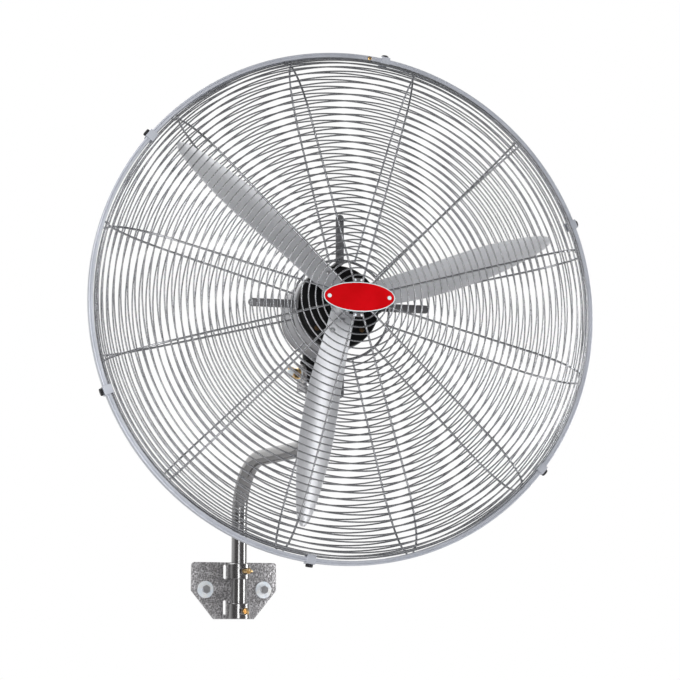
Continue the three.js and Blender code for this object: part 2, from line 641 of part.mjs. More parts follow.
// ---- cage halves ------------------------------------------------------------------------------
// One half is a lattice of rings and spokes: at every crossing sits a small block, and
// square wires run from block to block. A station is [radius, y, ring half-thickness];
// a station of thickness zero only bends the spokes.
const SIGNS = [-1, 1];
const SQUARE = [[-1, -1], [1, -1], [1, 1], [-1, 1]];
function cageHalf(stations, phase) {
  const positions = [];
  const index = [];
  const halfStep = Math.PI / WIRE.spokes;
  const add = (v) => positions.push(v.x, v.y, v.z) / 3 - 1;
  const quad = (a, b, c, d) => index.push(a, b, c, a, c, d);
  const tube = (from, to) => from.forEach((a, k) => {
    const n = (k + 1) % 4;
    quad(a, from[n], to[n], to[k]);
  });
  const along = stations.map((station, i) => {
    const before = stations[Math.max(0, i - 1)];
    const after = stations[Math.min(stations.length - 1, i + 1)];
    return new THREE.Vector2(after[0] - before[0], after[1] - before[1]).normalize();
  });
  const frameAt = (i, angle) => {
    const [cos, sin] = [Math.cos(angle), Math.sin(angle)];
    const t = new THREE.Vector3(-sin, 0, cos);
    const u = new THREE.Vector3(along[i].x * cos, along[i].y, along[i].x * sin);
    return {
      p: new THREE.Vector3(stations[i][0] * cos, stations[i][1], stations[i][0] * sin),
      t, u, n: new THREE.Vector3().crossVectors(t, u),
    };
  };
  const corner = (f, a, b, c) =>
    add(f.p.clone().addScaledVector(f.t, a).addScaledVector(f.u, b).addScaledVector(f.n, c));
  const blocks = [];
  const middles = [];
  stations.forEach(([, , ring], i) => {
    const depth = ring || WIRE.spoke;
    for (let j = 0; j < WIRE.spokes; j += 1) {
      const angle = rad(phase) + 2 * halfStep * j;
      const f = frameAt(i, angle);
      const b = {};
      for (const st of SIGNS) {
        for (const su of SIGNS) {
          for (const sn of SIGNS) {
            b[`${st},${su},${sn}`] = corner(f, st * WIRE.spoke, su * depth, sn * depth);
          }
        }
      }
      blocks.push(b);
      const m = frameAt(i, angle + halfStep);
      middles.push(ring ? SQUARE.map(([su, sn]) => corner(m, 0, su * ring, sn * ring)) : null);
    }
  });
  const loopT = (b, st) => SQUARE.map(([su, sn]) => b[`${st},${su},${sn}`]);
  const loopU = (b, su) => SQUARE.map(([sn, st]) => b[`${st},${su},${sn}`]);
  const loopN = (b, sn) => SQUARE.map(([st, su]) => b[`${st},${su},${sn}`]);
  const cap = (loop, facing) => quad(...(facing > 0 ? loop : [...loop].reverse()));
  stations.forEach(([, , ring], i) => {
    for (let j = 0; j < WIRE.spokes; j += 1) {
      const b = blocks[i * WIRE.spokes + j];
      const next = blocks[i * WIRE.spokes + ((j + 1) % WIRE.spokes)];
      const middle = middles[i * WIRE.spokes + j];
      if (ring) {
        tube(loopT(b, 1), middle);
        tube(middle, loopT(next, -1));
      } else {
        cap(loopT(b, 1), 1);
        cap(loopT(b, -1), -1);
      }
      if (i + 1 < stations.length) tube(loopU(b, 1), loopU(blocks[(i + 1) * WIRE.spokes + j], -1));
      else cap(loopU(b, 1), 1);
      if (i === 0) cap(loopU(b, -1), -1);
      cap(loopN(b, 1), 1);
      cap(loopN(b, -1), -1);
    }
  });
  return indexed(positions, index);
}

// The stations of one half: rings on the flat disc, then round the shoulder, which is a
// quarter ellipse, and at last the bend and the outer ring that the rim channel holds.
// `side` is -1 for the front half and 1 for the rear half.
const flatEdge = RIM.radius - CAGE.shoulder;
const bendRadius = rimLip - CAGE.inset;
const rimSeat = RIM.half - RIM.wall - GAP - WIRE.ring;   // the outer wires lie against the lips
function cageStations(side, depth, innerRing, innerWire) {
  const stations = [[innerRing, side * (depth + WIRE.ring - innerWire), innerWire]];
  const count = Math.round((flatEdge - innerRing) / CAGE.pitch);
  for (let k = 1; k <= count; k += 1) {
    stations.push([innerRing + ((flatEdge - innerRing) * k) / count, side * depth, WIRE.ring]);
  }
  for (let k = 1; k < CAGE.shoulderSteps; k += 1) {
    const a = ((Math.PI / 2) * k) / CAGE.shoulderSteps;
    stations.push([
      flatEdge + (bendRadius - flatEdge) * Math.sin(a),
      side * (rimSeat + (depth - rimSeat) * Math.cos(a)),
      WIRE.ring,
    ]);
  }
  stations.push([bendRadius, side * rimSeat, 0], [rimLip + CAGE.hook, side * rimSeat, WIRE.ring]);
  return stations;
}
place(guard, 'front_cage', 'chrome',
  cageHalf(cageStations(-1, CAGE.front, CAGE.frontRing, WIRE.ring), WIRE.front));
place(guard, 'rear_cage', 'chrome',
  cageHalf(cageStations(1, CAGE.rear, CAGE.rearRing, WIRE.rear), WIRE.back));

// ---- rim channel, clips and joint screw ---------------------------------------------------------
const jointRadius = RIM.radius - JOINT_SCREW.inset;
const jointX = jointRadius * Math.cos(rad(JOINT_SCREW.angle));
const jointZ = jointRadius * Math.sin(rad(JOINT_SCREW.angle));
function rimChannel() {
  const { radius, half, wall } = RIM;
  const web = radius - wall;
  const ring = revolve(closed([
    [rimLip, -half], [radius, -half], [radius, half], [rimLip, half],
    [rimLip, half - wall], [web, half - wall], [web, wall - half], [rimLip, wall - half],
  ]), FACETS.large);
  return cut(ring, rodY(
    JOINT_SCREW.shank + GAP, -half - OVER, wall - half + OVER, jointX, jointZ, FACETS.tiny,
  ));
}
place(guard, 'rim_channel', 'chrome', rimChannel());
const jointSeat = -RIM.half - GAP;
place(guard, 'rim_joint_screw', 'brass', joined(
  rodY(JOINT_SCREW.head, jointSeat - JOINT_SCREW.headThick, jointSeat, jointX, jointZ, FACETS.small),
  rodY(JOINT_SCREW.shank, jointSeat - OVER / 2, jointSeat + JOINT_SCREW.length - GAP,
    jointX, jointZ, FACETS.tiny),
));

const earIn = RIM.half + GAP;
const earOut = earIn + CLIP.thick;
const clipWeb = RIM.radius + GAP;
const clipOut = clipWeb + CLIP.thick;
for (let k = 0; k < CLIP.count; k += 1) {
  const turn = -rad(CLIP.phase + (360 / CLIP.count) * k);
  const w = CLIP.width / 2;
  const clip = cut(
    joined(
      box(clipWeb, clipOut, -earOut, earOut, -w, w),
      box(RIM.radius - CLIP.lap, clipOut, -earOut, -earIn, -w, w),
      box(RIM.radius - CLIP.lap, clipOut, earIn, earOut, -w, w),
    ),
    rodX(CLIP.screw + GAP, clipWeb - OVER, clipOut + OVER, 0, 0, FACETS.tiny),
  );
  place(guard, `rim_clip_${k + 1}`, 'chrome', clip.rotateY(turn));
  const screw = joined(
    rodX(CLIP.screw, clipWeb + GAP, clipOut + OVER, 0, 0, FACETS.tiny),
    rodX(CLIP.head, clipOut + GAP, clipOut + GAP + CLIP.headThick, 0, 0, FACETS.tiny),
  );
  place(guard, `clip_screw_${k + 1}`, 'plastic', screw.rotateY(turn));
}

// ---- arms that carry the rear half, and the badge ------------------------------------------------
['right', 'top', 'left', 'bottom'].forEach((where, k) => {
  const w = ARM.width / 2;
  const foot = MOTOR.casing + GAP;
  const bar = joined(
    box(foot, ARM.reach, armSeat, armSeat + ARM.thick, -w, w),
    box(foot, foot + ARM.thick, armSeat, armSeat + ARM.foot, -w, w),
  );
  place(wheel, `cage_arm_${where}`, 'greyPaint', bar.rotateY(-rad(90 * k)));
});

function badge() {
  const { face, thick, stud, pin } = BADGE;
  const oval = new THREE.Shape();
  oval.absellipse(0, 0, BADGE.width / 2, BADGE.height / 2, 0, 2 * Math.PI, false, 0);
  const plate = new THREE.ExtrudeGeometry(oval, {
    depth: thick, bevelEnabled: false, curveSegments: 14,
  });
  plate.rotateX(Math.PI / 2).translate(0, face + thick, 0);
  const studs = SIGNS.flatMap((side) => [
    rodY(BADGE.studHead, face - BADGE.studRise, face + OVER / 2, side * stud, 0, FACETS.small),
    rodY(pin, face, BADGE.pinBack, side * stud, 0, FACETS.tiny),
  ]);
  return joined(plate, ...studs);
}
place(guard, 'badge_plate', 'red', badge());

const backingFront = WIRE.ring + GAP - CAGE.front;
const backingBar = (halfX, halfZ) =>
  box(-halfX, halfX, backingFront, backingFront + BACKING.thick, -halfZ, halfZ);
const pinHole = (x) =>
  rodY(BADGE.pin + GAP, backingFront - OVER, backingFront + BACKING.thick + OVER, x, 0, FACETS.tiny);
place(guard, 'badge_backing', 'zinc', cut(
  joined(
    backingBar(BACKING.halfLength, BACKING.halfBar),
    backingBar(BACKING.halfPost, BACKING.halfHeight),
  ),
  pinHole(-BADGE.stud),
  pinHole(BADGE.stud),
));

export default fan;
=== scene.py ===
# %% [markdown]
# # A wall mounted fan with a wire cage
#
# This lesson dresses the imported model of a large wall fan. The imported model is the frame:
# it has every piece at its real size and place, in metres, with Z up and the wall at y = 0.
# Blender adds what the eye wants to see, which is the fine wirework, the rounded edges
# and the finishes. The first cell loads the frame.

# %% Load the imported fan
import math

import bmesh
import bpy
from mathutils import Matrix, Vector


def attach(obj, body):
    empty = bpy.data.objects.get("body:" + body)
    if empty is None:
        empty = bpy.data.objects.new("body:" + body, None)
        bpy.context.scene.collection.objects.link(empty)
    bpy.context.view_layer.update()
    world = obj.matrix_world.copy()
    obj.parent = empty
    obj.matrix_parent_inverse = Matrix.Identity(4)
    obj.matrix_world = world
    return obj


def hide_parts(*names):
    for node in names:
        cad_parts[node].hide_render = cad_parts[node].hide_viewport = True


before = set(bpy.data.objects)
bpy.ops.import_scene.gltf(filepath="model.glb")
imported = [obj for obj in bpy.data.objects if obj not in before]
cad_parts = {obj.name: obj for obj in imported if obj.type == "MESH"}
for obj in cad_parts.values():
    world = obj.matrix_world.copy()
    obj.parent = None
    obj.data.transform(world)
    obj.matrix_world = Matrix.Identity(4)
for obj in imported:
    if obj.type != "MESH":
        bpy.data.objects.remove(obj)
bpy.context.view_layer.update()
scene = bpy.context.scene
MM = 0.001

# %% [markdown]
# # The camera
#
# The photograph looks at the fan from low on the left, from about three metres away,
# with a long lens. The rim is a true circle on the real fan, so the ellipse that it
# makes in the picture tells the direction, and its size tells the distance.

# %% The camera
PICTURE = 680                      # pixels along each side of the photograph
FOCAL = 1810                       # focal length in the same pixels
SENSOR = 36                        # width of the sensor in millimetres
CAMERA_PLACE = (-1.2294, -3.0914, -0.0635)
LOOKS_UP, LOOKS_RIGHT = 8.95, 25.03     # degrees
camera = bpy.data.objects.new("camera", bpy.data.cameras.new("camera"))
scene.collection.objects.link(camera)
camera.data.sensor_width = SENSOR
camera.data.lens = SENSOR * FOCAL / PICTURE
camera.location = CAMERA_PLACE
camera.rotation_euler = (math.radians(90 + LOOKS_UP), 0, math.radians(-LOOKS_RIGHT))
scene.camera = camera
scene.view_settings.view_transform = "Standard"
print("lens in millimetres:", round(camera.data.lens, 1))

# %% [markdown]
# # Light, background and floor
#
# Bright plated wire shows what stands round it: the white wall behind the fan and the
# dimmer room in front. So the world is white where the camera looks at it. A reflection
# finds it white towards the wall and grey towards the room, and where it lights the
# surfaces it is even and less than half as strong. Two tall lamps make the streaks along
# the pole, one left of the camera and one far to the right. The lower blade mirrors the
# left one, so that blade is the bright one. A third lamp stands high on the wall's side
# and lights the upper edges. The floor is far below the fan, as it is under a fan on a
# wall. The camera sees it a little paler than it is, so that it goes over into the white
# room.

# %% World, lamps and floor
FAN_CENTRE = Vector((-0.042, -0.578, 0.43))
LAMP_DISTANCE = 3.4
ROOM_LIGHT, ROOM_SEEN = 0.42, 0.14      # the room as light, and its dim side in a reflection
DIM_UNTIL, WHITE_FROM = -0.3, 0.5       # the Y of a direction, which is 1 towards the wall


def put(tree, kind, inputs=None, **settings):
    """Adds a node. An input that is given another node's socket is linked to it."""
    node = tree.nodes.new(kind)
    for name, value in settings.items():
        setattr(node, name, value)
    for key, value in (inputs or {}).items():
        if isinstance(value, bpy.types.NodeSocket):
            tree.links.new(value, node.inputs[key])
        else:
            node.inputs[key].default_value = value
    return node


def maths(tree, operation, *values):
    return put(tree, "ShaderNodeMath", dict(enumerate(values)), operation=operation).outputs[0]


world = bpy.data.worlds.new("studio")
world.use_nodes = True
scene.world = world
sky = world.node_tree
backdrop = sky.nodes["Background"]
backdrop.inputs["Color"].default_value = (1, 1, 1, 1)
rays = put(sky, "ShaderNodeLightPath").outputs
towards = put(sky, "ShaderNodeSeparateXYZ", {0: put(sky, "ShaderNodeTexCoord").outputs["Generated"]})
mirrored = put(sky, "ShaderNodeMapRange", {
    "Value": towards.outputs["Y"], "From Min": DIM_UNTIL, "From Max": WHITE_FROM,
    "To Min": ROOM_SEEN, "To Max": 1.0}, interpolation_type="SMOOTHSTEP").outputs["Result"]
reflected = maths(sky, "MAXIMUM", rays["Is Glossy Ray"], rays["Is Transmission Ray"])
unseen = put(sky, "ShaderNodeMix", {"Factor": reflected, "A": ROOM_LIGHT, "B": mirrored}).outputs[0]
strength = put(sky, "ShaderNodeMix", {"Factor": rays["Is Camera Ray"], "A": unseen, "B": 1.0}).outputs[0]
sky.links.new(strength, backdrop.inputs["Strength"])


def lamp(name, direction, width, height, watts):
    """A soft lamp that looks at the middle of the fan."""
    data = bpy.data.lights.new(name, "AREA")
    data.shape = "RECTANGLE"
    data.size, data.size_y, data.energy = width, height, watts
    thing = bpy.data.objects.new(name, data)
    scene.collection.objects.link(thing)
    away = Vector(direction).normalized()
    thing.location = FAN_CENTRE + away * LAMP_DISTANCE
    thing.rotation_euler = away.to_track_quat("Z", "Y").to_euler()


lamp("key", (-0.44, -0.88, 0.02), 1.0, 3.2, 66)
lamp("side", (0.94, -0.32, -0.14), 0.85, 2.8, 75)
lamp("back", (-0.3, 0.8, 0.75), 2.0, 2.0, 40)

FLOOR_REACH, FLOOR_Z, FLOOR_GLOW = 7.0, -0.9, 0.45
floor_mesh = bpy.data.meshes.new("floor")
floor_mesh.from_pydata(
    [(x * FLOOR_REACH, y * FLOOR_REACH, FLOOR_Z) for x, y in ((-1, -1), (1, -1), (1, 1), (-1, 1))],
    [], [(0, 1, 2, 3)])
floor = bpy.data.objects.new("floor", floor_mesh)
scene.collection.objects.link(floor)
floor_finish = bpy.data.materials.new("pale_floor")
floor_finish.use_nodes = True
floor_tree = floor_finish.node_tree
floor_shader = floor_tree.nodes["Principled BSDF"]
floor_shader.inputs["Base Color"].default_value = (0.86, 0.86, 0.87, 1)
floor_shader.inputs["Roughness"].default_value = 0.7
floor_shader.inputs["Emission Color"].default_value = (1, 1, 1, 1)
seen = put(floor_tree, "ShaderNodeLightPath").outputs["Is Camera Ray"]
shown_paler = maths(floor_tree, "MULTIPLY", seen, FLOOR_GLOW)
floor_tree.links.new(shown_paler, floor_shader.inputs["Emission Strength"])
floor_mesh.materials.append(floor_finish)

# %% [markdown]
# # Finishes
#
# A finish here is one shader with three things that a real surface has at its own scale:
# a slow change of tone over some centimetres, a fine grain of a millimetre or less, and
# a roughness that varies finely too. They read the piece's own coordinates, in metres, so a
# noise of scale 100 has spots of about a centimetre. Only the blades read their own map.

# %% Helpers for finishes
def new_finish(name, metallic, **fixed):
    """A material, its node tree and its shader, with the values that are the same all over."""
    material = bpy.data.materials.new(name)
    material.use_nodes = True
    tree = material.node_tree
    shader = tree.nodes["Principled BSDF"]
    shader.inputs["Metallic"].default_value = metallic
    for socket, value in fixed.items():
        shader.inputs[socket.replace("_", " ")].default_value = value
    return material, tree, shader


def spots(tree, scale, detail=3.0, where=None):
    """Soft noise on the piece's own coordinates, as a value from 0 to 1."""
    if where is None:
        where = put(tree, "ShaderNodeTexCoord").outputs["Object"]
    noise = put(tree, "ShaderNodeTexNoise", {"Vector": where, "Scale": scale, "Detail": detail})
    return noise.outputs["Fac"]


def tones(tree, value, *stops):
    """Turns a value into a colour. A stop is (position, (red, green, blue))."""
    ramp = put(tree, "ShaderNodeValToRGB", {"Fac": value})
    while len(ramp.color_ramp.elements) < len(stops):
        ramp.color_ramp.elements.new(0.5)
    for element, (position, colour) in zip(ramp.color_ramp.elements, stops):
        element.position = position
        element.color = (*colour, 1)
    return ramp.outputs["Color"]


def between(tree, value, low, high):
    """Spreads the middle of a noise over the range from low to high."""
    return put(tree, "ShaderNodeMapRange", {
        "Value": value, "From Min": 0.3, "From Max": 0.7, "To Min": low, "To Max": high,
    }).outputs["Result"]


def relief(tree, shader, height, depth, strength=0.6):
    """A bump of that depth in metres."""
    bump = put(tree, "ShaderNodeBump", {"Height": height, "Distance": depth, "Strength": strength})
    tree.links.new(bump.outputs["Normal"], shader.inputs["Normal"])


def coated(name, metallic, dark, light, rough, patch, grain, depth, **fixed):
    """A painted, plated or bare metal: tone by patches, roughness and relief by grain."""
    material, tree, shader = new_finish(name, metallic, **fixed)
    tone = tones(tree, spots(tree, patch), (0.3, dark), (0.7, light))
    tree.links.new(tone, shader.inputs["Base Color"])
    fine = spots(tree, grain, 2.0)
    tree.links.new(between(tree, fine, *rough), shader.inputs["Roughness"])
    relief(tree, shader, fine, depth)
    return material


# %% [markdown]
# # Plated wire, painted metal, brass and plastic
#
# Most of the fan's finishes differ only in their tone, gloss and grain, so one helper
# makes them all. The wire is bright plated steel, the motor is grey and black paint, and
# the screws are brass, darkened brass or blackened steel. The pole is nearly black under a
# clear glossy coat, which mirrors the two tall lamps as white streaks.

# %% Plain finishes
plated_wire = coated("plated_wire", 1.0, (0.29, 0.295, 0.31), (0.41, 0.415, 0.43),
                     rough=(0.18, 0.32), patch=45, grain=900, depth=0.03 * MM)
rim_strip = coated("rim_strip", 0.3, (0.46, 0.48, 0.53), (0.57, 0.59, 0.65),
                   rough=(0.26, 0.42), patch=14, grain=1200, depth=0.03 * MM)
grey_paint = coated("grey_paint", 0.25, (0.34, 0.34, 0.36), (0.40, 0.40, 0.42),
                    rough=(0.38, 0.52), patch=22, grain=700, depth=0.06 * MM)
dark_bar = coated("dark_bar", 0.3, (0.12, 0.12, 0.125), (0.18, 0.18, 0.19),
                  rough=(0.38, 0.55), patch=40, grain=800, depth=0.05 * MM)
black_paint = coated("black_paint", 0.0, (0.003, 0.003, 0.0035), (0.007, 0.007, 0.0075),
                     rough=(0.35, 0.5), patch=30, grain=650, depth=0.06 * MM,
                     Specular_IOR_Level=0.12)
pole_enamel = coated("pole_enamel", 0.0, (0.014, 0.011, 0.011), (0.030, 0.024, 0.024),
                     rough=(0.3, 0.4), patch=26, grain=900, depth=0.02 * MM,
                     Specular_IOR_Level=0.2, Coat_Weight=1.0, Coat_Roughness=0.2, Coat_IOR=2.8)
brass = coated("brass", 1.0, (0.68, 0.44, 0.19), (0.86, 0.62, 0.32),
               rough=(0.22, 0.36), patch=160, grain=1500, depth=0.02 * MM)
aged_brass = coated("aged_brass", 0.9, (0.04, 0.025, 0.012), (0.10, 0.06, 0.03),
                    rough=(0.35, 0.5), patch=160, grain=1500, depth=0.03 * MM)
black_oxide = coated("black_oxide", 0.4, (0.010, 0.010, 0.012), (0.03, 0.03, 0.034),
                     rough=(0.35, 0.5), patch=90, grain=1200, depth=0.03 * MM)
black_plastic = coated("black_plastic", 0.0, (0.018, 0.018, 0.02), (0.03, 0.03, 0.033),
                       rough=(0.42, 0.6), patch=60, grain=1800, depth=0.04 * MM)
bare_steel = coated("bare_steel", 1.0, (0.45, 0.45, 0.465), (0.58, 0.58, 0.595),
                    rough=(0.28, 0.45), patch=70, grain=1600, depth=0.02 * MM)
copper = coated("varnished_copper", 0.8, (0.30, 0.10, 0.04), (0.48, 0.20, 0.09),
                rough=(0.3, 0.5), patch=120, grain=2200, depth=0.1 * MM)
cast_alloy = coated("cast_alloy", 0.8, (0.34, 0.345, 0.35), (0.46, 0.465, 0.47),
                    rough=(0.4, 0.55), patch=60, grain=900, depth=0.05 * MM)
print("finishes so far:", [material.name for material in bpy.data.materials])

# %% [markdown]
# # Zinc plating, hammered paint, satin blades and enamel
#
# Four finishes have a mark of their own. Zinc shows pale blue and yellow clouds. Hammered
# paint is a net of shallow dimples with brighter ridges. The blades are rolled sheet, so
# their grain is drawn out in lines along the blade, and painted light makes the sheet
# darker at the root and brighter towards the tip. The badge is red enamel with the faint
# orange peel of a sprayed coat.

# %% Special finishes
def zinc_plating():
    material, tree, shader = new_finish("zinc_plating", 0.1)
    cloud = spots(tree, 90, 2.0)
    tone = tones(tree, cloud, (0.25, (0.80, 0.88, 0.96)), (0.55, (0.90, 0.93, 0.96)),
                 (0.8, (0.93, 0.92, 0.86)))
    tree.links.new(tone, shader.inputs["Base Color"])
    fine = spots(tree, 1400, 2.0)
    tree.links.new(between(tree, fine, 0.22, 0.40), shader.inputs["Roughness"])
    relief(tree, shader, fine, 0.02 * MM)
    return material


def hammered_paint():
    material, tree, shader = new_finish("hammered_paint", 0.35, Coat_Weight=0.5, Coat_Roughness=0.15)
    where = put(tree, "ShaderNodeTexCoord").outputs["Object"]
    cells = put(tree, "ShaderNodeTexVoronoi", {"Vector": where, "Scale": 330.0, "Smoothness": 0.6},
                feature="SMOOTH_F1").outputs["Distance"]
    tone = tones(tree, cells, (0.15, (0.14, 0.136, 0.14)), (0.5, (0.32, 0.312, 0.32)),
                 (0.85, (0.66, 0.65, 0.67)))
    tree.links.new(tone, shader.inputs["Base Color"])
    tree.links.new(between(tree, spots(tree, 500), 0.24, 0.42), shader.inputs["Roughness"])
    relief(tree, shader, cells, 0.8 * MM, 0.8)
    return material


def satin_sheet():
    """Grain lines along the blade, whose map has its length in U; painted light makes it darker at the root
    and brighter towards the tip.
    """
    material, tree, shader = new_finish("satin_sheet", 0.4)
    chart = put(tree, "ShaderNodeUVMap", uv_map="blade")
    stretched = put(tree, "ShaderNodeMapping", {"Vector": chart.outputs["UV"], "Scale": (6.0, 260.0, 1.0)})
    lines = spots(tree, 1.0, 4.0, stretched.outputs["Vector"])
    along = put(tree, "ShaderNodeSeparateXYZ", {0: chart.outputs["UV"]}).outputs["X"]
    # painted light: the colour runs darker at the root and brighter at the tip, as the light falls along the
    # blade, added to the grain lines
    grain_and_painted_tip_light = maths(tree, "ADD", maths(tree, "MULTIPLY_ADD", along, 0.6, -0.3), lines)
    tone = tones(tree, grain_and_painted_tip_light, (0.0, (0.44, 0.445, 0.47)), (0.5, (0.64, 0.645, 0.67)),
                 (1.0, (0.90, 0.905, 0.93)))
    tree.links.new(tone, shader.inputs["Base Color"])
    tree.links.new(between(tree, lines, 0.30, 0.42), shader.inputs["Roughness"])
    relief(tree, shader, lines, 0.03 * MM, 0.4)
    return material


def enamel(name, dark, light):
    material, tree, shader = new_finish(name, 0.0, Specular_IOR_Level=0.05)
    tone = tones(tree, spots(tree, 35), (0.3, dark), (0.7, light))
    tree.links.new(tone, shader.inputs["Base Color"])
    peel = spots(tree, 800, 1.0)
    tree.links.new(between(tree, peel, 0.28, 0.4), shader.inputs["Roughness"])
    relief(tree, shader, peel, 0.04 * MM, 0.5)
    return material


zinc = zinc_plating()
hammered = hammered_paint()
blade_sheet = satin_sheet()
red_enamel = enamel("red_enamel", (0.50, 0.001, 0.003), (0.60, 0.002, 0.006))
pale_enamel = enamel("pale_enamel", (0.62, 0.80, 0.82), (0.72, 0.86, 0.88))
print("special finishes:", [m.name for m in (zinc, hammered, blade_sheet, red_enamel, pale_enamel)])

# %% [markdown]
# # Tools of the workshop
#
# A few helpers make nearly every solid piece. `turned` revolves a profile, as a lathe
# does. `pressed` cuts an outline from sheet metal. `bar` is a straight rod, round or with
# six sides. `welded` and `cut` join and cut solids. Each gives a plain mesh, and `part`
# makes it an object at the origin with its place in the mesh.

# %% Placing pieces
NECK_Y, SHAFT_Z, BLADES_AHEAD = -0.362, 0.4374, 0.214
HEAD_TURN = math.radians(-11)
GUARD_DROP, RIM_AHEAD = 7.4 * MM, 6 * MM
ALONG_X = Matrix.Rotation(math.pi / 2, 4, "Y")       # lays a piece that stands on Z along X
ALONG_Y = Matrix.Rotation(-math.pi / 2, 4, "X")      # and along Y


def shift(x, y, z):
    return Matrix.Translation((x, y, z))


# In axle coordinates +Z points along the shaft towards the wall, z = 0 is the blade plane.
HEAD = shift(0, NECK_Y, SHAFT_Z) @ Matrix.Rotation(HEAD_TURN, 4, "Z")
AXLE = HEAD @ shift(0, -BLADES_AHEAD, 0) @ ALONG_Y
# The guard hangs a little lower than the shaft. Its own z = 0 is the rim plane.
GUARD = AXLE @ shift(0, GUARD_DROP, -RIM_AHEAD)
print("middle of the blades:", [round(v, 4) for v in AXLE.translation])


def mesh_of(bm):
    """Ends a work mesh, with its faces turned outwards."""
    bmesh.ops.recalc_face_normals(bm, faces=bm.faces)
    mesh = bpy.data.meshes.new("work")
    bm.to_mesh(mesh)
    bm.free()
    return mesh


def evaluated(thing):
    """The shape of an object with its modifiers, as a plain mesh. The object goes."""
    depsgraph = bpy.context.evaluated_depsgraph_get()
    mesh = bpy.data.meshes.new_from_object(thing.evaluated_get(depsgraph), depsgraph=depsgraph)
    bpy.data.objects.remove(thing)
    return mesh


def part(name, mesh, finish, place=Matrix.Identity(4), sharp=32):
    """An object of that mesh, moved to its place in the row frame."""
    mesh.transform(place)
    mesh.name = name
    mesh.materials.clear()
    mesh.materials.append(finish)
    mesh.shade_smooth()
    mesh.set_sharp_from_angle(angle=math.radians(sharp))
    thing = bpy.data.objects.new(name, mesh)
    scene.collection.objects.link(thing)
    return thing


def seat(piece, body, slot, *nodes):
    """The piece rides on its body and stands for its nodes. The slot is not used."""
    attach(piece, body)
    if nodes:
        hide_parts(*nodes)
    print(f"{piece.name}: {len(piece.data.polygons)} faces on {body}")
    return piece


# %% Lathe, press and saw
def hoop(bm, x_radius, y_radius, z, count):
    """Points on a circle or an oval about Z. Where the radius is nothing, it is one point."""
    if x_radius < 1e-7:
        return [bm.verts.new((0, 0, z))]
    angles = [2 * math.pi * k / count for k in range(count)]
    return [bm.verts.new((x_radius * math.cos(a), y_radius * math.sin(a), z)) for a in angles]


def skinned(bm, rings):
    """Lays faces from each ring of points to the next one."""
    for one, two in zip(rings, rings[1:]):
        count = max(len(one), len(two))
        for k in range(count):
            n = (k + 1) % count
            corners = [one[k % len(one)], one[n % len(one)], two[n % len(two)], two[k % len(two)]]
            corners = list(dict.fromkeys(corners))
            if len(corners) > 2:
                bm.faces.new(corners)


def turned(profile, sides=72):
    """Revolves (radius, z) points about Z. A profile that starts and ends on the axis has poles."""
    bm = bmesh.new()
    rings = [hoop(bm, radius, radius, z, sides) for radius, z in profile]
    closed = len(rings[0]) > 1
    skinned(bm, rings + rings[:1] if closed else rings)
    return mesh_of(bm)


def bar(radius, low, high, sides=40):
    """A straight rod along Z."""
    return turned([(0, low), (radius, low), (radius, high), (0, high)], sides)


def block(x0, x1, y0, y1, z0, z1):
    """A box between those limits."""
    bm = bmesh.new()
    bmesh.ops.create_cube(bm, size=1.0)
    size = Matrix.Diagonal((x1 - x0, y1 - y0, z1 - z0, 1))
    bm.transform(shift((x0 + x1) / 2, (y0 + y1) / 2, (z0 + z1) / 2) @ size)
    return mesh_of(bm)


def moved(mesh, place):
    mesh.transform(place)
    return mesh


def combined(first, others, operation):
    """Joins, cuts or intersects solids. The other meshes are used up."""
    thing = bpy.data.objects.new("work", first)
    scene.collection.objects.link(thing)
    tools = []
    for mesh in others:
        tool = bpy.data.objects.new("tool", mesh)
        scene.collection.objects.link(tool)
        tools.append(tool)
        step = thing.modifiers.new("step", "BOOLEAN")
        step.operation, step.solver, step.object = operation, "EXACT", tool
    mesh = evaluated(thing)
    for tool in tools:
        bpy.data.objects.remove(tool)
    return mesh


def welded(first, *others):
    return combined(first, others, "UNION")


def cut(first, *others):
    return combined(first, others, "DIFFERENCE")


def pressed(outlines, thick, edge=0.4 * MM):
    """Sheet metal in the XY plane: the first outline is the edge and the others are holes."""
    curve = bpy.data.curves.new("outline", "CURVE")
    curve.dimensions, curve.fill_mode = "2D", "BOTH"
    curve.extrude, curve.bevel_depth, curve.bevel_resolution = thick / 2 - edge, edge, 1
    curve.offset = -edge
    for points in outlines:
        spline = curve.splines.new("POLY")
        spline.points.add(len(points) - 1)
        for point, (x, y) in zip(spline.points, points):
            point.co = (x, y, 0, 1)
        spline.use_cyclic_u = True
    thing = bpy.data.objects.new("outline", curve)
    scene.collection.objects.link(thing)
    mesh = evaluated(thing)
    bm = bmesh.new()
    bm.from_mesh(mesh)
    bmesh.ops.remove_doubles(bm, verts=bm.verts, dist=1e-6)
    return mesh_of(bm)


def arc(x, y, radius, start, end, steps=16):
    """Points on an arc, angles in degrees."""
    angles = [math.radians(start + (end - start) * k / steps) for k in range(steps + 1)]
    return [(x + radius * math.cos(a), y + radius * math.sin(a)) for a in angles]


def round_hole(x, y, radius):
    """The outline of a hole, with a point at every fifteen degrees."""
    return arc(x, y, radius, 0, 345, 23)


def softened(piece, width, angle=35):
    """Rounds the sharp edges of a piece."""
    edge = piece.modifiers.new("edge", "BEVEL")
    edge.width, edge.segments, edge.limit_method = width, 2, "ANGLE"
    edge.angle_limit = math.radians(angle)
    edge.harden_normals = True
    return piece


# %% [markdown]
# # The tree that draws a wire guard
#
# Each half of the cage is some thirty-five closed rings welded across twelve spokes. That
# could be modelled ring by ring, but one rule says it all: take the side view of the half
# as a curve, put a point on it every eleven millimetres, and draw a circle through each
# point about the axle. The spokes are the same curve, set inwards by the two wires' radii
# and turned twelve times. Geometry Nodes follow that rule, so one tree makes both halves.

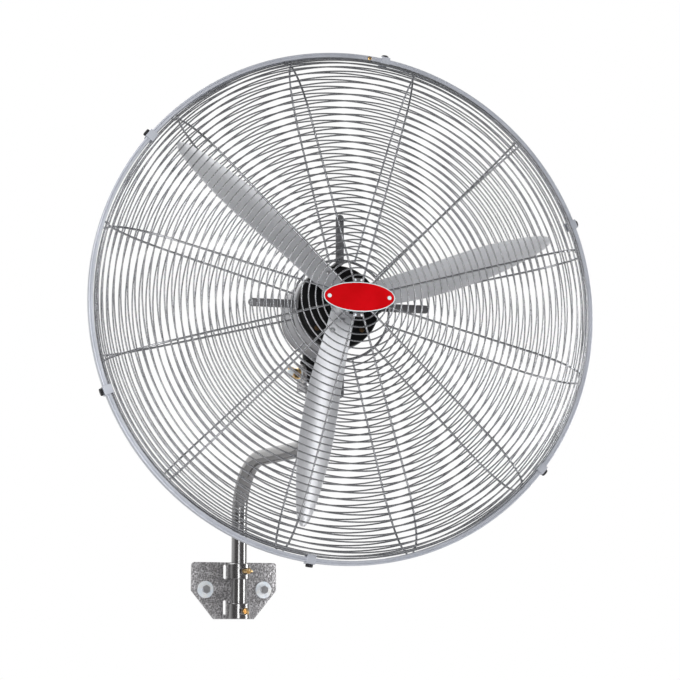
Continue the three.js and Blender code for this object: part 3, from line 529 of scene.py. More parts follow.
# %% A tree with named inputs
def new_tree(name, inputs):
    """A tree for a modifier, with its named inputs, and what its input node gives."""
    tree = bpy.data.node_groups.new(name, "GeometryNodeTree")
    tree.is_modifier = True
    face = tree.interface
    face.new_socket("Geometry", in_out="INPUT", socket_type="NodeSocketGeometry")
    for label, kind in inputs.items():
        face.new_socket(label, in_out="INPUT", socket_type=f"NodeSocket{kind}")
    face.new_socket("Geometry", in_out="OUTPUT", socket_type="NodeSocketGeometry")
    return tree, put(tree, "NodeGroupInput").outputs


def finish_tree(tree, geometry, finish):
    """Ends a tree: plain geometry, smooth shading and the finish."""
    plain = put(tree, "GeometryNodeRealizeInstances", {"Geometry": geometry}).outputs[0]
    smooth = put(tree, "GeometryNodeSetShadeSmooth", {"Geometry": plain}).outputs[0]
    dressed = put(tree, "GeometryNodeSetMaterial", {"Geometry": smooth, "Material": finish}).outputs[0]
    put(tree, "NodeGroupOutput", {"Geometry": dressed})


def round_copies(tree, piece, count, phase):
    """Copies of a piece at equal steps round the axle, anticlockwise as seen from the front."""
    places = put(tree, "GeometryNodeMeshLine", {"Count": count, "Offset": (0, 0, 0)}).outputs[0]
    number = put(tree, "GeometryNodeInputIndex").outputs[0]
    step = maths(tree, "DIVIDE", 2 * math.pi, count)
    angle = maths(tree, "ADD", maths(tree, "MULTIPLY", number, step), phase)
    spin = put(tree, "ShaderNodeCombineXYZ", {"Z": maths(tree, "MULTIPLY", angle, -1.0)}).outputs[0]
    return put(tree, "GeometryNodeInstanceOnPoints", {
        "Points": places, "Instance": piece, "Rotation": spin}).outputs[0]


def grown(name, seed_mesh, tree, place, **values):
    """Runs a tree on a mesh and gives the result as a plain piece in the row frame."""
    seed = bpy.data.objects.new("seed", seed_mesh)
    scene.collection.objects.link(seed)
    modifier = seed.modifiers.new("tree", "NODES")
    modifier.node_group = tree
    named = {s.name: s.identifier for s in tree.interface.items_tree if s.in_out == "INPUT"}
    for label, value in values.items():
        modifier[named[label.replace("_", " ")]] = value
    mesh = evaluated(seed)
    mesh.transform(place)
    mesh.name = name
    thing = bpy.data.objects.new(name, mesh)
    scene.collection.objects.link(thing)
    return thing


# %% The guard tree
RING_POINTS, EYE_POINTS, WIRE_SIDES = 176, 96, 8
WELD = 0.3 * MM                    # how far a ring sinks into its spokes


def circle(tree, points, radius):
    return put(tree, "GeometryNodeCurvePrimitiveCircle", {"Resolution": points, "Radius": radius}).outputs[0]


def wire(tree, curve, radius):
    """Carries a round section of that radius along a curve."""
    section = circle(tree, WIRE_SIDES, radius)
    even = put(tree, "GeometryNodeSetCurveRadius", {"Curve": curve, "Radius": 1.0}).outputs[0]
    return put(tree, "GeometryNodeCurveToMesh", {
        "Curve": even, "Profile Curve": section, "Fill Caps": True}).outputs[0]


def guard_tree():
    tree, given = new_tree("wire_guard", {
        "Ring pitch": "Float", "Ring wire": "Float", "Spoke wire": "Float", "Spokes": "Int",
        "Phase": "Float", "Side": "Float", "Hub ring": "Float", "Hub level": "Float",
        "Hub wire": "Float", "Finish": "Material"})
    outline = put(tree, "GeometryNodeMeshToCurve", {"Mesh": given["Geometry"]}).outputs[0]
    here = put(tree, "ShaderNodeSeparateXYZ", {
        "Vector": put(tree, "GeometryNodeInputPosition").outputs[0]}).outputs

    # rings: a circle through every point of the side view
    points = put(tree, "GeometryNodeCurveToPoints", {"Curve": outline, "Length": given["Ring pitch"]},
                 mode="LENGTH").outputs["Points"]
    one_ring = circle(tree, RING_POINTS, 1.0)
    spread = put(tree, "ShaderNodeCombineXYZ", {"X": here["X"], "Y": here["X"], "Z": 1.0}).outputs[0]
    circles = put(tree, "GeometryNodeInstanceOnPoints", {
        "Points": points, "Instance": one_ring, "Scale": spread}).outputs[0]
    home = put(tree, "ShaderNodeCombineXYZ", {"X": maths(tree, "MULTIPLY", here["X"], -1.0)}).outputs[0]
    circles = put(tree, "GeometryNodeTranslateInstances", {
        "Instances": circles, "Translation": home, "Local Space": False}).outputs[0]
    circles = put(tree, "GeometryNodeRealizeInstances", {"Geometry": circles}).outputs[0]
    rings = wire(tree, circles, given["Ring wire"])

    # spokes: the side view set inwards by both radii, turned about the axle
    along = put(tree, "ShaderNodeSeparateXYZ", {
        "Vector": put(tree, "GeometryNodeInputTangent").outputs[0]}).outputs
    both_radii = maths(tree, "ADD", given["Ring wire"], given["Spoke wire"])
    inset = maths(tree, "MULTIPLY", given["Side"], maths(tree, "SUBTRACT", both_radii, WELD))
    inwards = put(tree, "ShaderNodeCombineXYZ", {
        "X": maths(tree, "MULTIPLY", maths(tree, "MULTIPLY", along["Z"], -1.0), inset),
        "Z": maths(tree, "MULTIPLY", along["X"], inset)}).outputs[0]
    centre_line = put(tree, "GeometryNodeSetPosition", {"Geometry": outline, "Offset": inwards}).outputs[0]
    spoke = wire(tree, centre_line, given["Spoke wire"])
    spokes = round_copies(tree, spoke, given["Spokes"], given["Phase"])

    # the heavier ring round the middle
    level = put(tree, "ShaderNodeCombineXYZ", {"Z": given["Hub level"]}).outputs[0]
    eye = put(tree, "GeometryNodeSetPosition", {
        "Geometry": circle(tree, EYE_POINTS, given["Hub ring"]), "Offset": level}).outputs[0]
    eye = wire(tree, eye, given["Hub wire"])
    every = put(tree, "GeometryNodeJoinGeometry")
    for geometry in (eye, spokes, rings):
        tree.links.new(geometry, every.inputs[0])
    finish_tree(tree, every.outputs[0], given["Finish"])
    return tree


wire_guard = guard_tree()
print("guard tree:", len(wire_guard.nodes), "nodes")

# %% [markdown]
# # The two halves of the guard
#
# In side view a half is flat in the middle and then rounds over a shoulder, a quarter of
# an ellipse, down to the rim. There it hooks outwards into the rim strip. The front half
# is deeper than the rear one. The rear half ends inside at a heavy ring that lies on the
# motor's arms.

# %% Front and rear guard
RIM, LIP, FLAT_EDGE = 0.4045, 0.397, 0.290
BEND, SEAT, HOOK = LIP - 3.1 * MM, 4.5 * MM, LIP + 4 * MM
FRONT_PHASE, REAR_PHASE = 15.1, 13.6
RING_WIRE, SPOKE_WIRE, RING_PITCH = 1.2 * MM, 1.65 * MM, 10.7 * MM      # the wires as radii
FRONT_DEPTH, REAR_DEPTH = 67 * MM, 50 * MM
FRONT_EYE, REAR_EYE, REAR_EYE_WIRE = 24 * MM, 80 * MM, 2.2 * MM


def side_view(side, depth, start, steps=28):
    """The side view of a half as a line of points, (radius, 0, z)."""
    line = [(start, depth), (FLAT_EDGE - 20 * MM, depth)]
    for k in range(1, steps + 1):
        a = math.pi / 2 * k / steps
        line.append((FLAT_EDGE + (BEND - FLAT_EDGE) * math.sin(a), SEAT + (depth - SEAT) * math.cos(a)))
    line += [(BEND + 2 * MM, SEAT), (HOOK, SEAT)]
    mesh = bpy.data.meshes.new("side_view")
    mesh.from_pydata([(r, 0, side * z) for r, z in line], [(k, k + 1) for k in range(len(line) - 1)], [])
    return mesh


common = dict(Ring_pitch=RING_PITCH, Ring_wire=RING_WIRE, Spoke_wire=SPOKE_WIRE, Spokes=12,
              Finish=plated_wire)
guard_front = grown("guard_front", side_view(-1, FRONT_DEPTH, FRONT_EYE), wire_guard, GUARD,
                    Phase=math.radians(FRONT_PHASE), Side=1.0, Hub_ring=FRONT_EYE,
                    Hub_level=-FRONT_DEPTH, Hub_wire=RING_WIRE, **common)
guard_rear = grown("guard_rear", side_view(1, REAR_DEPTH, REAR_EYE), wire_guard, GUARD,
                   Phase=math.radians(REAR_PHASE), Side=-1.0, Hub_ring=REAR_EYE,
                   Hub_level=REAR_DEPTH - 0.6 * MM, Hub_wire=REAR_EYE_WIRE, **common)
seat(guard_front, "head", "plated_wire", "front_cage")
seat(guard_rear, "head", "plated_wire", "rear_cage")

# %% [markdown]
# # The rim strip
#
# A strip of sheet, rolled to a channel and then to a hoop, holds the hooked ends of both
# halves. Its section is revolved with small rounded corners and a rolled groove on each
# side, because the light that runs along them is what makes the rim read as a strip and
# not as a pipe.

# %% Rim strip
RIM_HALF, RIM_WALL = 8 * MM, 1.6 * MM


def rounded_channel(outer, lip, half, wall, fillet=1.2 * MM, groove=3.2 * MM, shallow=0.8 * MM):
    """The section of the channel: up the outside, round both lips and back inside."""
    mark, lip_edge = outer - groove, lip + 0.4 * MM
    points = []
    for z_sign, start in ((-1, -90), (1, 0)):
        points += arc(outer - fillet, z_sign * (half - fillet), fillet, start, start + 90, 4)
    points += [(mark + shallow, half), (mark, half - shallow), (mark - shallow, half)]
    points += [(lip_edge, half), (lip, half - 0.5 * wall), (lip_edge, half - wall)]
    points += [(outer - wall, half - wall), (outer - wall, wall - half)]
    points += [(lip_edge, wall - half), (lip, 0.5 * wall - half), (lip_edge, -half)]
    points += [(mark - shallow, -half), (mark, shallow - half), (mark + shallow, -half)]
    return points


rim_band = part("rim_band", turned(rounded_channel(RIM, LIP, RIM_HALF, RIM_WALL), 240), rim_strip, GUARD)
seat(rim_band, "head", "plated_wire", "rim_channel")

# %% [markdown]
# # A tree that repeats a piece round the axle
#
# Clips, screws, arms and blades all stand in rings about the axle. One small tree turns
# its own mesh to as many places as it is told, so each of them is modelled only once.

# %% Round tree
def round_tree():
    tree, given = new_tree("round_the_axle", {"Count": "Int", "Phase": "Float"})
    copies = round_copies(tree, given["Geometry"], given["Count"], given["Phase"])
    plain = put(tree, "GeometryNodeRealizeInstances", {"Geometry": copies}).outputs[0]
    put(tree, "NodeGroupOutput", {"Geometry": plain})
    return tree


round_the_axle = round_tree()


def ring_of(name, piece, count, phase, place=AXLE):
    """Copies a finished piece round the axle and gives them as one plain piece."""
    mesh = evaluated(piece)
    return grown(name, mesh, round_the_axle, place, Count=count, Phase=math.radians(phase))


print("round tree:", len(round_the_axle.nodes), "nodes")

# %% [markdown]
# # Rim clips and their screws
#
# Six clips straddle the rim strip and keep the halves together. Each is a bent strip with
# two ears, and a black screw with a grooved head stands outwards from it.

# %% Clips
CLIP_PHASE, CLIPS = 21.4, 6
CLIP_WIDTH, CLIP_THICK, CLIP_GAP, EAR_REACH = 14 * MM, 2 * MM, 0.3 * MM, 12 * MM
clip_in, ear_in, ear_tip = RIM + CLIP_GAP, RIM_HALF + CLIP_GAP, RIM - EAR_REACH
clip_out, ear_out = clip_in + CLIP_THICK, ear_in + CLIP_THICK
half_width = CLIP_WIDTH / 2
clip_mesh = welded(
    block(clip_in, clip_out, -half_width, half_width, -ear_out, ear_out),
    block(ear_tip, clip_out, -half_width, half_width, -ear_out, -ear_in),
    block(ear_tip, clip_out, -half_width, half_width, ear_in, ear_out))
clip = softened(part("clip", clip_mesh, rim_strip), 0.7 * MM)
seat(ring_of("rim_clips", clip, CLIPS, CLIP_PHASE, GUARD), "head", "plated_wire",
     *[f"rim_clip_{k}" for k in range(1, CLIPS + 1)])

# %% Clip screws
CLIP_SHANK, CLIP_HEAD, CLIP_HEAD_HIGH, GROOVE = 2 * MM, 5.8 * MM, 4.4 * MM, 0.94


def grooved_head(radius, low, high, teeth=18):
    """A screw head with a grooved edge: every fourth point round it lies deeper."""
    bm = bmesh.new()
    rings = []
    for share, z in ((0.9, low), (1.0, low + 0.5 * MM), (1.0, high - 0.9 * MM), (0.86, high), (0.45, high)):
        ring = hoop(bm, radius * share, radius * share, z, 4 * teeth)
        for point in ring[::4]:
            point.co = (point.co.x * GROOVE, point.co.y * GROOVE, z)
        rings.append(ring)
    skinned(bm, rings)
    bm.faces.new(rings[0][::-1])
    bm.faces.new(rings[-1])
    return mesh_of(bm)


head_seat = clip_out + CLIP_GAP
screw_mesh = welded(bar(CLIP_SHANK, RIM + 0.6 * MM, clip_out + MM, 16),
                    grooved_head(CLIP_HEAD, head_seat, head_seat + CLIP_HEAD_HIGH))
clip_screw = part("clip_screw", screw_mesh, black_oxide, ALONG_X)
seat(ring_of("clip_screws", clip_screw, CLIPS, CLIP_PHASE, GUARD), "head", "black_screw",
     *[f"clip_screw_{k}" for k in range(1, CLIPS + 1)])

# %% [markdown]
# # The blades
#
# A blade is sheet metal, twisted and dished: steep at the root, nearly flat at the tip,
# and hollow towards the front. Its leading and trailing edges are smooth curves through
# a few points, here as shares of the tip radius, as the designer of the blade would
# give them. A grid is laid between the two edges and then gets its thickness.

# %% Blade edges
TRAILING = [(0.056, 0.044), (0.17, 0.04), (0.39, 0.039), (0.65, 0.041),
            (0.845, 0.024), (0.958, 0.004), (1, -0.017)]
LEADING = [(0.056, -0.06), (0.17, -0.072), (0.39, -0.099), (0.65, -0.101),
           (0.845, -0.079), (0.958, -0.056), (1, -0.035)]


def catmull(a, b, c, d, t):
    """A smooth curve from b to c."""
    v0, v1 = (c - a) / 2, (d - b) / 2
    return (2 * b - 2 * c + v0 + v1) * t ** 3 + (-3 * b + 3 * c - 2 * v0 - v1) * t ** 2 + v0 * t + b


def smooth_edge(points, share):
    """The edge's distance off the radial line at that share of the tip radius, by halving."""
    padded = [points[0], *points, points[-1]]
    for k in range(1, len(padded) - 2):
        (x0, y0), (x1, y1), (x2, y2), (x3, y3) = padded[k - 1:k + 3]
        if share <= x2 or k == len(padded) - 3:
            low, high = 0.0, 1.0
            for _ in range(40):
                t = (low + high) / 2
                x = catmull(x0, x1, x2, x3, t)
                low, high = (t, high) if x < share else (low, t)
            return catmull(y0, y1, y2, y3, (low + high) / 2)


half_way = [round(smooth_edge(edge, 0.5), 4) for edge in (LEADING, TRAILING)]
print("edges at half the tip radius, as shares of it:", half_way)

# %% Blade grid
TIP, ROOT, ROOT_FLAT = 0.359, 0.020, 0.062
ROOT_PITCH, TIP_PITCH, DISH, WIDEST = -16.2, -6.7, 5 * MM, 0.14      # pitches in degrees
BLADES, BLADE_PHASE, BLADE_THICK = 3, 20.2, 2.0 * MM


def blade_point(radius, across):
    """A point of the blade's middle sheet; across runs from the leading edge, 0, to 1."""
    lead = smooth_edge(LEADING, radius / TIP) * TIP
    trail = smooth_edge(TRAILING, radius / TIP) * TIP
    t = min(1, max(0, (radius - ROOT_FLAT) / (TIP - ROOT_FLAT)))
    pitch = math.radians(ROOT_PITCH + (TIP_PITCH - ROOT_PITCH) * t)
    # the dish grows over the first third and with the width; across the blade it is a parabola
    bow = DISH * min(1, 3 * t) * (trail - lead) / (WIDEST * TIP) * 4 * across * (1 - across)
    off = lead + (trail - lead) * across
    return Vector((radius, -off, off * math.tan(pitch) + bow))


def blade_mesh(lengths=64, widths=18, crowding=1.6):
    """The middle sheet as a grid, whose rows crowd together towards the tip."""
    bm = bmesh.new()
    chart = bm.loops.layers.uv.new("blade")
    grid = []
    for i in range(lengths + 1):
        left = 1 - i / lengths
        radius = ROOT + (TIP - ROOT) * (1 - left ** crowding)
        grid.append([bm.verts.new(blade_point(radius, j / widths)) for j in range(widths + 1)])
    for i in range(lengths):
        for j in range(widths):
            face = bm.faces.new((grid[i][j], grid[i][j + 1], grid[i + 1][j + 1], grid[i + 1][j]))
            for loop, (a, b) in zip(face.loops, ((i, j), (i, j + 1), (i + 1, j + 1), (i + 1, j))):
                loop[chart].uv = (a / lengths, b / widths)
    mesh = bpy.data.meshes.new("blade")
    bm.to_mesh(mesh)
    bm.free()
    return mesh


blade = part("blade", blade_mesh(), blade_sheet)
wall = blade.modifiers.new("thickness", "SOLIDIFY")
wall.thickness, wall.offset = BLADE_THICK, 0
softened(blade, 0.6 * MM, 60)
seat(ring_of("blades", blade, BLADES, BLADE_PHASE), "rotor", "blade_aluminium",
     *[f"blade_{k}" for k in range(1, BLADES + 1)])

# %% [markdown]
# # The hub, its rivets and the nut
#
# Behind the blades sits a turned boss with three flat arms. Each arm lies along its
# blade's root, at the root's own pitch, and two domed rivets go through both. The shaft
# comes out in front, with a thread that carries the nut.

# %% Nuts, rivets and threads
def hexagon(radius, low, high, bore=0.0, spin=30):
    """A nut or a bolt head; radius goes to the corners, which are chamfered as turned."""
    prism = moved(bar(radius, low, high, 6), Matrix.Rotation(math.radians(spin), 4, "Z"))
    slope, wide = 0.13 * radius, 1.02 * radius
    round_off = turned([(0, low), (0.87 * radius, low), (wide, low + slope), (wide, high - slope),
                        (0.87 * radius, high), (0, high)], 60)
    mesh = combined(prism, [round_off], "INTERSECT")
    return cut(mesh, bar(bore, low - MM, high + MM)) if bore else mesh


def threaded(radius, low, high, pitch=1.5 * MM, sides=24):
    """A rod whose surface rises and falls as a thread does."""
    profile = [(0, low), (0.86 * radius, low)]
    for k in range(int((high - low) / pitch)):
        z = low + k * pitch
        profile += [(radius, z + 0.45 * pitch), (radius, z + 0.6 * pitch), (0.87 * radius, z + pitch)]
    return turned(profile + [(0.87 * radius, high), (0, high)], sides)


def domed(radius, height, low=0.0, sides=24):
    """A rivet head that stands up from `low` along +Z."""
    angles = [math.pi / 2 * k / 6 for k in range(6)]
    curve = [(radius * math.cos(a), low + height * math.sin(a)) for a in angles]
    return turned([(0, low - 0.4 * MM), (radius, low - 0.4 * MM), *curve, (0, low + height)], sides)


# %% Hub, shaft and nut
BOSS, SHAFT = 17 * MM, 7 * MM
HUB_FRONT, HUB_BACK = -14 * MM, 38 * MM
ARM_START, ARM_REACH, ARM_HALF, ARM_CORNER = 12 * MM, 58 * MM, 14 * MM, 8 * MM
ARM_THICK, ARM_SHIFT, ARM_GAP = 5 * MM, 8 * MM, 1.6 * MM
RIVET_PLACES = ((32 * MM, -2 * MM), (50 * MM, -14 * MM))
RIVET_HEAD, RIVET_HIGH, RIVET_SHANK = 4.4 * MM, 2.2 * MM, 3 * MM
ROOT_TILT = Matrix.Rotation(-math.radians(ROOT_PITCH), 4, "X")
FORWARD = Matrix.Rotation(math.pi, 4, "X")


def on_root(across, radius=0.0):
    """A place on the blade's root, `across` above the radial line."""
    return shift(radius, -across, across * math.tan(math.radians(ROOT_PITCH))) @ ROOT_TILT


def root_arm():
    """A flat arm with a rounded end, which lies just behind the blade's root."""
    x, y = ARM_REACH - ARM_CORNER, ARM_HALF - ARM_CORNER
    edge = [(ARM_START, -ARM_HALF), *arc(x, -y, ARM_CORNER, -90, 0, 6), *arc(x, y, ARM_CORNER, 0, 90, 6),
            (ARM_START, ARM_HALF)]
    return moved(pressed([edge], ARM_THICK), on_root(-ARM_SHIFT) @ shift(0, 0, ARM_GAP + ARM_THICK / 2))


heads = [moved(domed(RIVET_HEAD, RIVET_HIGH, 1.1 * MM), on_root(z, r) @ FORWARD) for r, z in RIVET_PLACES]
shanks = [moved(bar(RIVET_SHANK, -2 * MM, 3 * MM, 16), on_root(z, r)) for r, z in RIVET_PLACES]
one_arm = part("arm", welded(root_arm(), *shanks, *heads), bare_steel)
arms = evaluated(ring_of("arms", one_arm, BLADES, BLADE_PHASE, Matrix.Identity(4)))
boss = turned([(SHAFT, HUB_FRONT), (BOSS - MM, HUB_FRONT), (BOSS, HUB_FRONT + MM), (BOSS, HUB_BACK - MM),
               (BOSS - MM, HUB_BACK), (SHAFT, HUB_BACK)])
hub = part("hub", welded(boss, arms), bare_steel, AXLE)
seat(hub, "rotor", "steel", "blade_hub")

NUT_RADIUS, NUT_FRONT = 12.5 * MM, -24 * MM
THREAD_TIP, THREAD_END, SHAFT_END = -30 * MM, -20 * MM, 175 * MM
nut = part("hub_nut_turned", hexagon(NUT_RADIUS, NUT_FRONT, HUB_FRONT - 0.3 * MM, SHAFT), zinc, AXLE)
seat(nut, "rotor", "zinc", "hub_nut")
shaft_mesh = welded(bar(SHAFT, THREAD_END, SHAFT_END), threaded(0.99 * SHAFT, THREAD_TIP, THREAD_END + MM))
seat(part("shaft", shaft_mesh, bare_steel, AXLE), "rotor", "steel", "motor_shaft")

# %% [markdown]
# # The motor
#
# A black end shield with a rolled edge closes the front of the motor, and four screws of
# darkened brass hold it. Behind it comes the grey casing, a drawn steel shell with a bead
# at each end. Four dark bars stand out from the casing and carry the rear half of the
# guard.

# %% Front shield and its screws
def pan_head(radius, height, slot=1.1 * MM):
    """A screw head with a straight slot, standing up along +Z."""
    head = turned([(0, 0), (radius, 0), (radius, 0.35 * height), (0.93 * radius, 0.7 * height),
                   (0.75 * radius, 0.93 * height), (0.5 * radius, height), (0, height)], 32)
    return cut(head, block(-radius, radius, -slot / 2, slot / 2, 0.5 * height, 2 * height))


FACE, SHIELD, SHIELD_BORE, SEAM = 50 * MM, 66.5 * MM, 62 * MM, 70 * MM
SHAFT_HOLE, BEARING_BORE, BEARING_BOSS = 8.5 * MM, 17.8 * MM, 22.3 * MM
SCREW_CIRCLE, SCREW_HOLE, SCREW_SHANK, SCREW_HEAD = 52 * MM, 2.8 * MM, 2.5 * MM, 4.4 * MM
shield_mesh = turned([
    (SHAFT_HOLE, 44 * MM), (19 * MM, 44 * MM), (20.5 * MM, 44.6 * MM), (23.3 * MM, FACE),
    (40 * MM, 50.4 * MM), (41 * MM, 49.4 * MM), (44 * MM, 49.4 * MM), (45 * MM, 50.6 * MM),
    (59 * MM, 51 * MM), *arc(60.5 * MM, 57 * MM, 6 * MM, -80, 0, 6), (SHIELD, 67 * MM),
    (SHIELD - 0.6 * MM, 67.6 * MM), (SHIELD - 0.6 * MM, SEAM), (SHIELD_BORE, SEAM),
    (SHIELD_BORE, 58.5 * MM), (58 * MM, 54.5 * MM), (26.8 * MM, 54.5 * MM), (BEARING_BOSS, 60 * MM),
    (BEARING_BORE, 60 * MM), (BEARING_BORE, 49 * MM), (SHAFT_HOLE, 49 * MM)])
hole = SCREW_CIRCLE * math.sqrt(0.5)
holes = [moved(bar(SCREW_HOLE, 40 * MM, 60 * MM, 16), shift(x, y, 0))
         for x in (-hole, hole) for y in (-hole, hole)]
shield = softened(part("shield", cut(shield_mesh, *holes), black_paint, AXLE, 25), 0.5 * MM, 40)
seat(shield, "head", "black_paint", "motor_front_shield")
shield_screw = part("screw", welded(
    moved(pan_head(SCREW_HEAD, 2.5 * MM), shift(SCREW_CIRCLE, 0, FACE) @ FORWARD),
    moved(bar(SCREW_SHANK, FACE - 0.2 * MM, 68 * MM, 16), shift(SCREW_CIRCLE, 0, 0))), aged_brass)
seat(ring_of("shield_screws", shield_screw, 4, 45), "head", "brass",
     *[f"shield_screw_{where}" for where in ("upper_right", "upper_left", "lower_left", "lower_right")])

# %% Casing and arms
CASING, CASING_BORE, CASING_START, CASING_END = 67.5 * MM, 63 * MM, 70.3 * MM, 174 * MM
casing_mesh = turned([
    (CASING_BORE, CASING_START), (CASING - 0.6 * MM, CASING_START), (CASING, 71 * MM), (CASING, 75 * MM),
    (CASING - MM, 76 * MM), (CASING - MM, 78 * MM), (CASING - 0.4 * MM, 79 * MM),
    (CASING - 0.4 * MM, 164 * MM), (CASING - MM, 165 * MM), (CASING - MM, 167 * MM), (CASING, 168 * MM),
    (CASING, 173.4 * MM), (CASING - 0.6 * MM, CASING_END), (CASING_BORE, CASING_END)], 96)
seat(part("casing", casing_mesh, grey_paint, AXLE, 25), "head", "grey_paint", "motor_casing")

ARM_SEAT, ARM_FOOT, ARM_TIP, BAR_HALF, BAR_THICK = 45.9 * MM, 44 * MM, 148 * MM, 6.5 * MM, 3 * MM
bar_start = CASING + 0.3 * MM
strip = pressed([[(bar_start, -BAR_HALF), *arc(ARM_TIP - BAR_HALF, 0, BAR_HALF, -90, 90, 12),
                  (bar_start, BAR_HALF)]], BAR_THICK)
foot = block(bar_start, bar_start + BAR_THICK, -BAR_HALF, BAR_HALF, ARM_SEAT, ARM_SEAT + ARM_FOOT)
arm_mesh = welded(moved(strip, shift(0, 0, ARM_SEAT + BAR_THICK / 2)), foot)
arm = softened(part("arm", arm_mesh, dark_bar), 0.35 * MM)
seat(ring_of("cage_arms", arm, 4, 0), "head", "grey_paint",
     *[f"cage_arm_{where}" for where in ("right", "top", "left", "bottom")])

# %% [markdown]
# # The badge
#
# The badge is an oval plate, slightly crowned, with a pale turned edge round a red field.
# Two pale rivets pin it through the wires to a dark cross of sheet steel behind them, and
# four small zinc plated rivets sit at the top and the foot of the cross.

# %% Badge and its rivets
BADGE_LONG, BADGE_HIGH, CROWN = 56 * MM, 23 * MM, 1.1 * MM
BADGE_BACK, BADGE_FACE, RED_INSET = -70.4 * MM, -71.6 * MM, 1.3 * MM


def crowned_oval(inset, low, high, steps=10):
    """An oval plate whose front, towards -Z, swells by the crown at its middle."""
    bm = bmesh.new()
    long_half, high_half = BADGE_LONG - inset, BADGE_HIGH - inset

    def ring(share, z):
        return hoop(bm, share * long_half, share * high_half, z, 96)

    rings = [ring(1 - inset, low), ring(1.0, low - 0.3 * MM), ring(1.0, high + 0.3 * MM)]
    for k in range(steps):
        share = 0.992 * (1 - k / steps)
        rings.append(ring(share, high - CROWN * (1 - share * share)))
    skinned(bm, rings)
    bm.faces.new(rings[0])
    bm.faces.new(rings[-1])
    return mesh_of(bm)


badge_rim = part("badge_rim", crowned_oval(0.0, BADGE_BACK, BADGE_FACE), pale_enamel, GUARD, 25)
field_mesh = crowned_oval(RED_INSET, BADGE_BACK - 0.8 * MM, BADGE_FACE - 0.35 * MM)
badge_field = part("badge_field", field_mesh, red_enamel, GUARD, 25)
seat(badge_field, "head", "red_enamel", "badge_plate")
seat(badge_rim, "head", "red_enamel")
STUD, STUD_HEAD, STUD_SHANK = 47 * MM, 3.2 * MM, 1.6 * MM
STUD_FACE, STUD_END = -72.1 * MM, -62 * MM
for side, x in (("left", -STUD), ("right", STUD)):
    stud_mesh = welded(moved(domed(STUD_HEAD, 1.3 * MM), shift(x, 0, STUD_FACE) @ FORWARD),
                       moved(bar(STUD_SHANK, STUD_FACE + 0.1 * MM, STUD_END, 16), shift(x, 0, 0)))
    seat(part(f"badge_rivet_{side}", stud_mesh, pale_enamel, GUARD), "head", "red_enamel")

# %% Backing cross and the rim's joint screw
BACK_FRONT, BACK_THICK = -65.1 * MM, 1.7 * MM
CROSS_LONG, CROSS_HIGH, BEAM_X, BEAM_Y = 52 * MM, 30 * MM, 8 * MM, 5 * MM
SMALL_X, SMALL_Y, SMALL_HEAD, PIN_BORE = 5.2 * MM, 27 * MM, 2.2 * MM, 1.9 * MM
cross = []
for x, y in ((1, 1), (-1, 1), (-1, -1), (1, -1)):
    corner = [(x * CROSS_LONG, y * BEAM_Y), (x * BEAM_X, y * BEAM_Y), (x * BEAM_X, y * CROSS_HIGH)]
    cross += corner if x * y > 0 else corner[::-1]
pins = [round_hole(x, 0, PIN_BORE) for x in (-STUD, STUD)]
backing_mesh = moved(pressed([cross, *pins], BACK_THICK, 0.3 * MM), shift(0, 0, BACK_FRONT + BACK_THICK / 2))
seat(part("backing", backing_mesh, dark_bar, GUARD), "head", "zinc", "badge_backing")
small_places = [(x, y) for y in (-SMALL_Y, SMALL_Y) for x in (-SMALL_X, SMALL_X)]
for number, (x, y) in enumerate(small_places, 1):
    small = moved(domed(SMALL_HEAD, 0.6 * MM), shift(x, y, BACK_FRONT + 0.1 * MM) @ FORWARD)
    seat(part(f"backing_rivet_{number}", small, zinc, GUARD), "head", "zinc")

JOINT_RADIUS, JOINT_ANGLE, JOINT_Z = 400 * MM, math.radians(85.2), -8.3 * MM
JOINT_HEAD, JOINT_SHANK, JOINT_SLOT = 3.2 * MM, 1.5 * MM, 0.8 * MM
joint_mesh = welded(moved(pan_head(JOINT_HEAD, 1.9 * MM, JOINT_SLOT), FORWARD),
                    bar(JOINT_SHANK, -0.1 * MM, 2.1 * MM, 16))
at_joint = shift(JOINT_RADIUS * math.cos(JOINT_ANGLE), -JOINT_RADIUS * math.sin(JOINT_ANGLE), JOINT_Z)
seat(part("joint_screw", joint_mesh, brass, GUARD @ at_joint), "head", "brass", "rim_joint_screw")

# %% [markdown]
# # The neck behind the motor
#
# The casting behind the motor carries it from a vertical socket, so that the head can be
# swung by hand. It is a turned shape with generous roundings, and its back is closed by a
# chamfered cover. A black gland stands under it.

# %% Neck casting
POST_Z, SOCKET, SOCKET_BORE, SOCKET_TOP, SOCKET_LOW = 214 * MM, 22 * MM, 11.3 * MM, 32 * MM, 65.1 * MM
NECK_RADIUS, NECK_BORE, NECK_START, NECK_END = 42 * MM, 38 * MM, 174.3 * MM, 246 * MM
neck_body = turned([
    (0, 177 * MM), (BEARING_BORE, 177 * MM), (BEARING_BORE, 163 * MM), (BEARING_BOSS, 163 * MM),
    (BEARING_BOSS, NECK_START), (CASING, NECK_START), (CASING, 178 * MM),
    *arc(65 * MM, 178 * MM, 2.5 * MM, 0, 75, 4), (50 * MM, 185 * MM),
    *arc(50 * MM, 193 * MM, 8 * MM, 262, 180, 6), (NECK_RADIUS, NECK_END), (NECK_BORE, NECK_END),
    (NECK_BORE, 188 * MM), (0, 188 * MM)], 96)
AT_POST = shift(0, 0, POST_Z) @ ALONG_Y
GLAND_X, GLAND_Z, GLAND_BORE = 30 * MM, 229 * MM, 6.8 * MM
AT_GLAND = shift(GLAND_X, 0, GLAND_Z) @ ALONG_Y
socket = turned([(0, SOCKET_TOP), (SOCKET, SOCKET_TOP), (SOCKET, SOCKET_LOW - 1.2 * MM),
                 (SOCKET - 1.2 * MM, SOCKET_LOW), (0, SOCKET_LOW)], 60)
